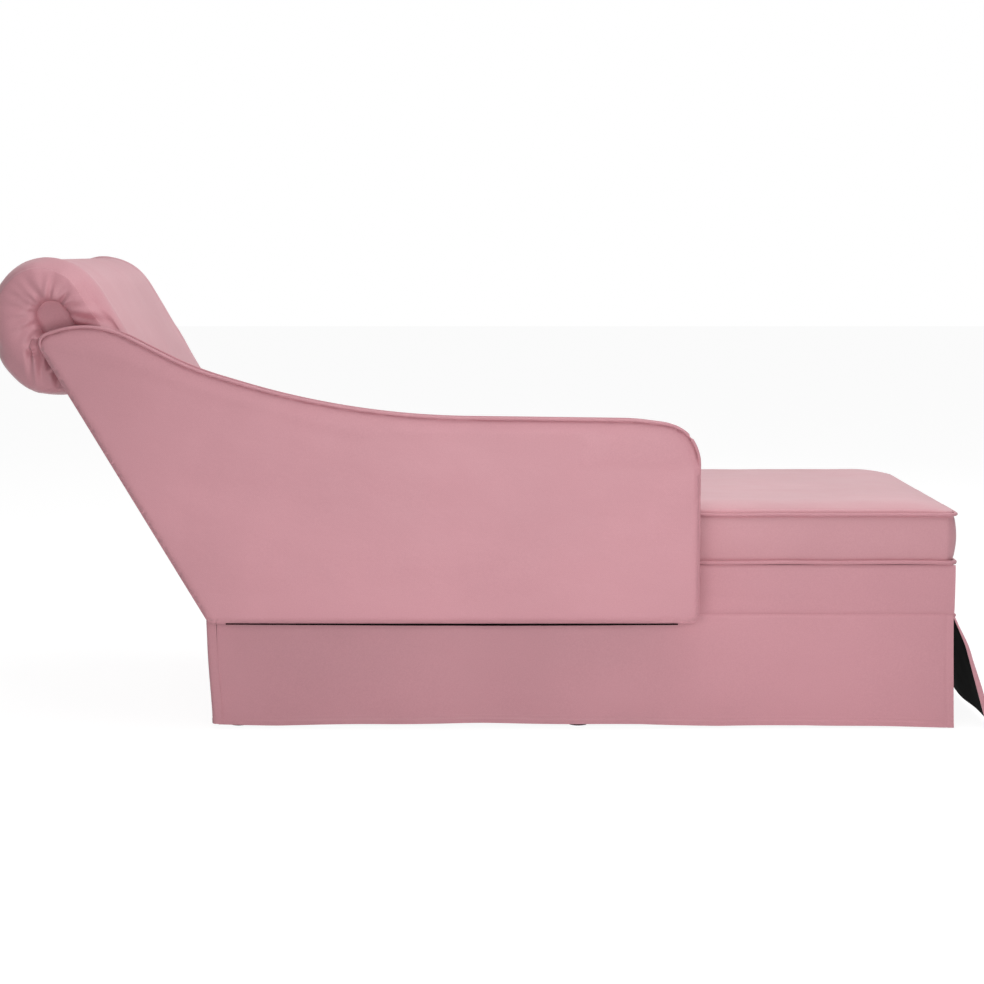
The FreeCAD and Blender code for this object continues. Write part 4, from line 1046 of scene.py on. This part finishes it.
hemRuns = [-0.74, -0.60, -0.42, -0.20, 0.0, 0.12, 0.28, 0.45, 0.60, 0.75]
hemLevels = [0.0, -0.0010, 0.0015, 0.0030, 0.0015, 0.0015, -0.0025, -0.0010, -0.0030, -0.0055]


def hemRise(run):
    return float(np.interp(run, hemRuns, hemLevels)) + 0.0006 * math.sin(run * 23.0)


def skirtOut(run, v, seed):
    # shallow folds that grow from the seam to the hem
    drop = (1 - v) ** 1.3
    fold = math.sin(run * 11.3 + seed) * 0.55 + math.sin(run * 19.7 + seed * 2.1) * 0.3 \
        + 0.5 * wobble(run, v * 0.12, seed, 6.5)
    line = 0.0
    above = v * (skirt["top"] - skirt["hem"])
    line -= 0.0011 * math.exp(-((above - skirt["stitch"]) / 0.0013) ** 2)
    line += 0.0009 * ease((skirt["fold"] - above) / 0.002)
    line -= 0.0022 * math.exp(-((skirt["top"] - skirt["hem"] - above) / 0.0035) ** 2)
    return skirt["wave"] * fold * drop + line


def skirtZ(v, run):
    return skirt["hem"] + (1 - v) * hemRise(run) + v * (skirt["top"] - skirt["hem"])


def sideSkirtPiece(name, side, seed):
    first, last = -0.7181, 0.7405

    def place(u, v):
        run = first + u * (last - first)
        hemLine = 0.0011 * math.exp(-((last - 0.0135 - run) / 0.0013) ** 2)
        flare = 0.0065 * ease((run - 0.55) / 0.19) * (1 - v) ** 1.2
        return (run + flare, side * (skirt["face"] + skirtOut(run, v, seed) - hemLine),
                skirtZ(v, run))
    piece = gridPiece(name, 420, 90, place)
    if side > 0:
        turnFaces(piece)
    thicken(piece, skirt["thick"], -1)
    smooth(piece)
    return piece


skirtArm = sideSkirtPiece("skirtArm", -1, 0.4)
skirtOpen = sideSkirtPiece("skirtOpen", 1, 2.7)


def headSkirtPlace(u, v):
    # round the two head corners and across between them
    halfRun = skirt["face"] + skirt["headTurn"]
    run = (u - 0.5) * 2 * halfRun
    edgeX = base["backX"] - 0.012 + (1 - v) * skirt["tuck"] + 0.0008 - 0.0042 * ease(v * 1.4)
    out = skirtOut(run, v, 5.1)
    z = skirtZ(v, run)
    corner = skirt["corner"]
    flat = skirt["face"] - corner
    if abs(run) <= flat:
        return (edgeX - out * 0.8, run, z)
    sign = math.copysign(1, run)
    over = abs(run) - flat
    arc = corner * math.pi / 2
    if over < arc:
        turn = over / corner
        return (edgeX + corner - corner * math.cos(turn),
                sign * (flat + corner * math.sin(turn)), z)
    return (edgeX + corner + over - arc, sign * (skirt["face"] + out * 0.25), z)


skirtHead = gridPiece("skirtHead", 230, 90, headSkirtPlace)
thicken(skirtHead, skirt["thick"], 1)
smooth(skirtHead)
for piece, node, flat in (
        (skirtArm, "skirt_arm", (1.459, 0.225)),
        (skirtOpen, "skirt_open", (1.459, 0.225)),
        (skirtHead, "skirt_head", (0.712, 0.225))):
    dress(piece, roseCloth, "frame", [node])
print("stage 9: skirt")

# the foot flap
flap = {"half": 0.3362, "thick": 0.0022, "bead": 0.0037, "kneeOut": 0.030, "kneeDown": 0.059,
        "hemOut": 0.084, "bend": 0.160, "hem": 0.0125}
hingeX, hingeZ = base["foot"] + 0.0015, base["seam"] - 0.0033
flapLine = roundedOutline([
    (hingeX + 0.0015, hingeZ - 0.003, 0),
    (hingeX + flap["kneeOut"], hingeZ - flap["kneeDown"], flap["bend"]),
    (hingeX + flap["hemOut"], flap["hem"], 0)], closed=False)
flapEven = evenly(flapLine, 60)


def flapPlace(depth, ripple, returned=0.0, inset=0.0):
    def place(u, v):
        index = (1 - v) * (len(flapEven) - 1)
        low = int(index)
        high = min(len(flapEven) - 1, low + 1)
        point = flapEven[low].lerp(flapEven[high], index - low)
        run = (flapEven[high] - flapEven[max(0, high - 1)]).normalized()
        normal = Vector((-run.y, run.x))
        turnIn = returned * (0.003 + 0.011 * (1 - v))
        y = (u - 0.5) * 2 * (flap["half"] - inset + turnIn)
        over = max(0, abs(y) - flap["half"] + inset)
        y -= math.copysign(over, y)
        under = depth + over
        fall = (1 - v) ** 1.5
        wave = fall * ripple * (math.sin(y * 13 + 0.5) + 0.6 * math.sin(y * 29 + 1.2))
        point = point - normal * under + normal * wave
        return (point[0], y, point[1] + fall * 0.0015 * math.sin(y * 21))
    return place


footFlap = gridPiece("footFlap", 200, 70, flapPlace(0.0003, 0.0016, returned=1.0))
thicken(footFlap, flap["thick"], -1)
smooth(footFlap)
flapLining = gridPiece("flapLining", 200, 70, flapPlace(0.0031, 0.0016, inset=0.0032))
thicken(flapLining, 0.0011, -1)
smooth(flapLining)
rollRun = flap["half"] * 2 - 0.004
rollLine = [(hingeX, -flap["half"] + 0.002 + k * rollRun / 80, hingeZ + 0.0002 * math.sin(k))
            for k in range(81)]
flapRoll = tubePiece("flapRoll", rollLine, flap["bead"], closed=False, sides=3)
smooth(flapRoll, 80)
dress(footFlap, roseCloth, "foot_flap", ["foot_flap"])
dress(flapRoll, pipingCloth, "foot_flap")
dress(flapLining, liningCloth, "foot_flap", ["foot_flap_lining"])
print("stage 10: foot flap")
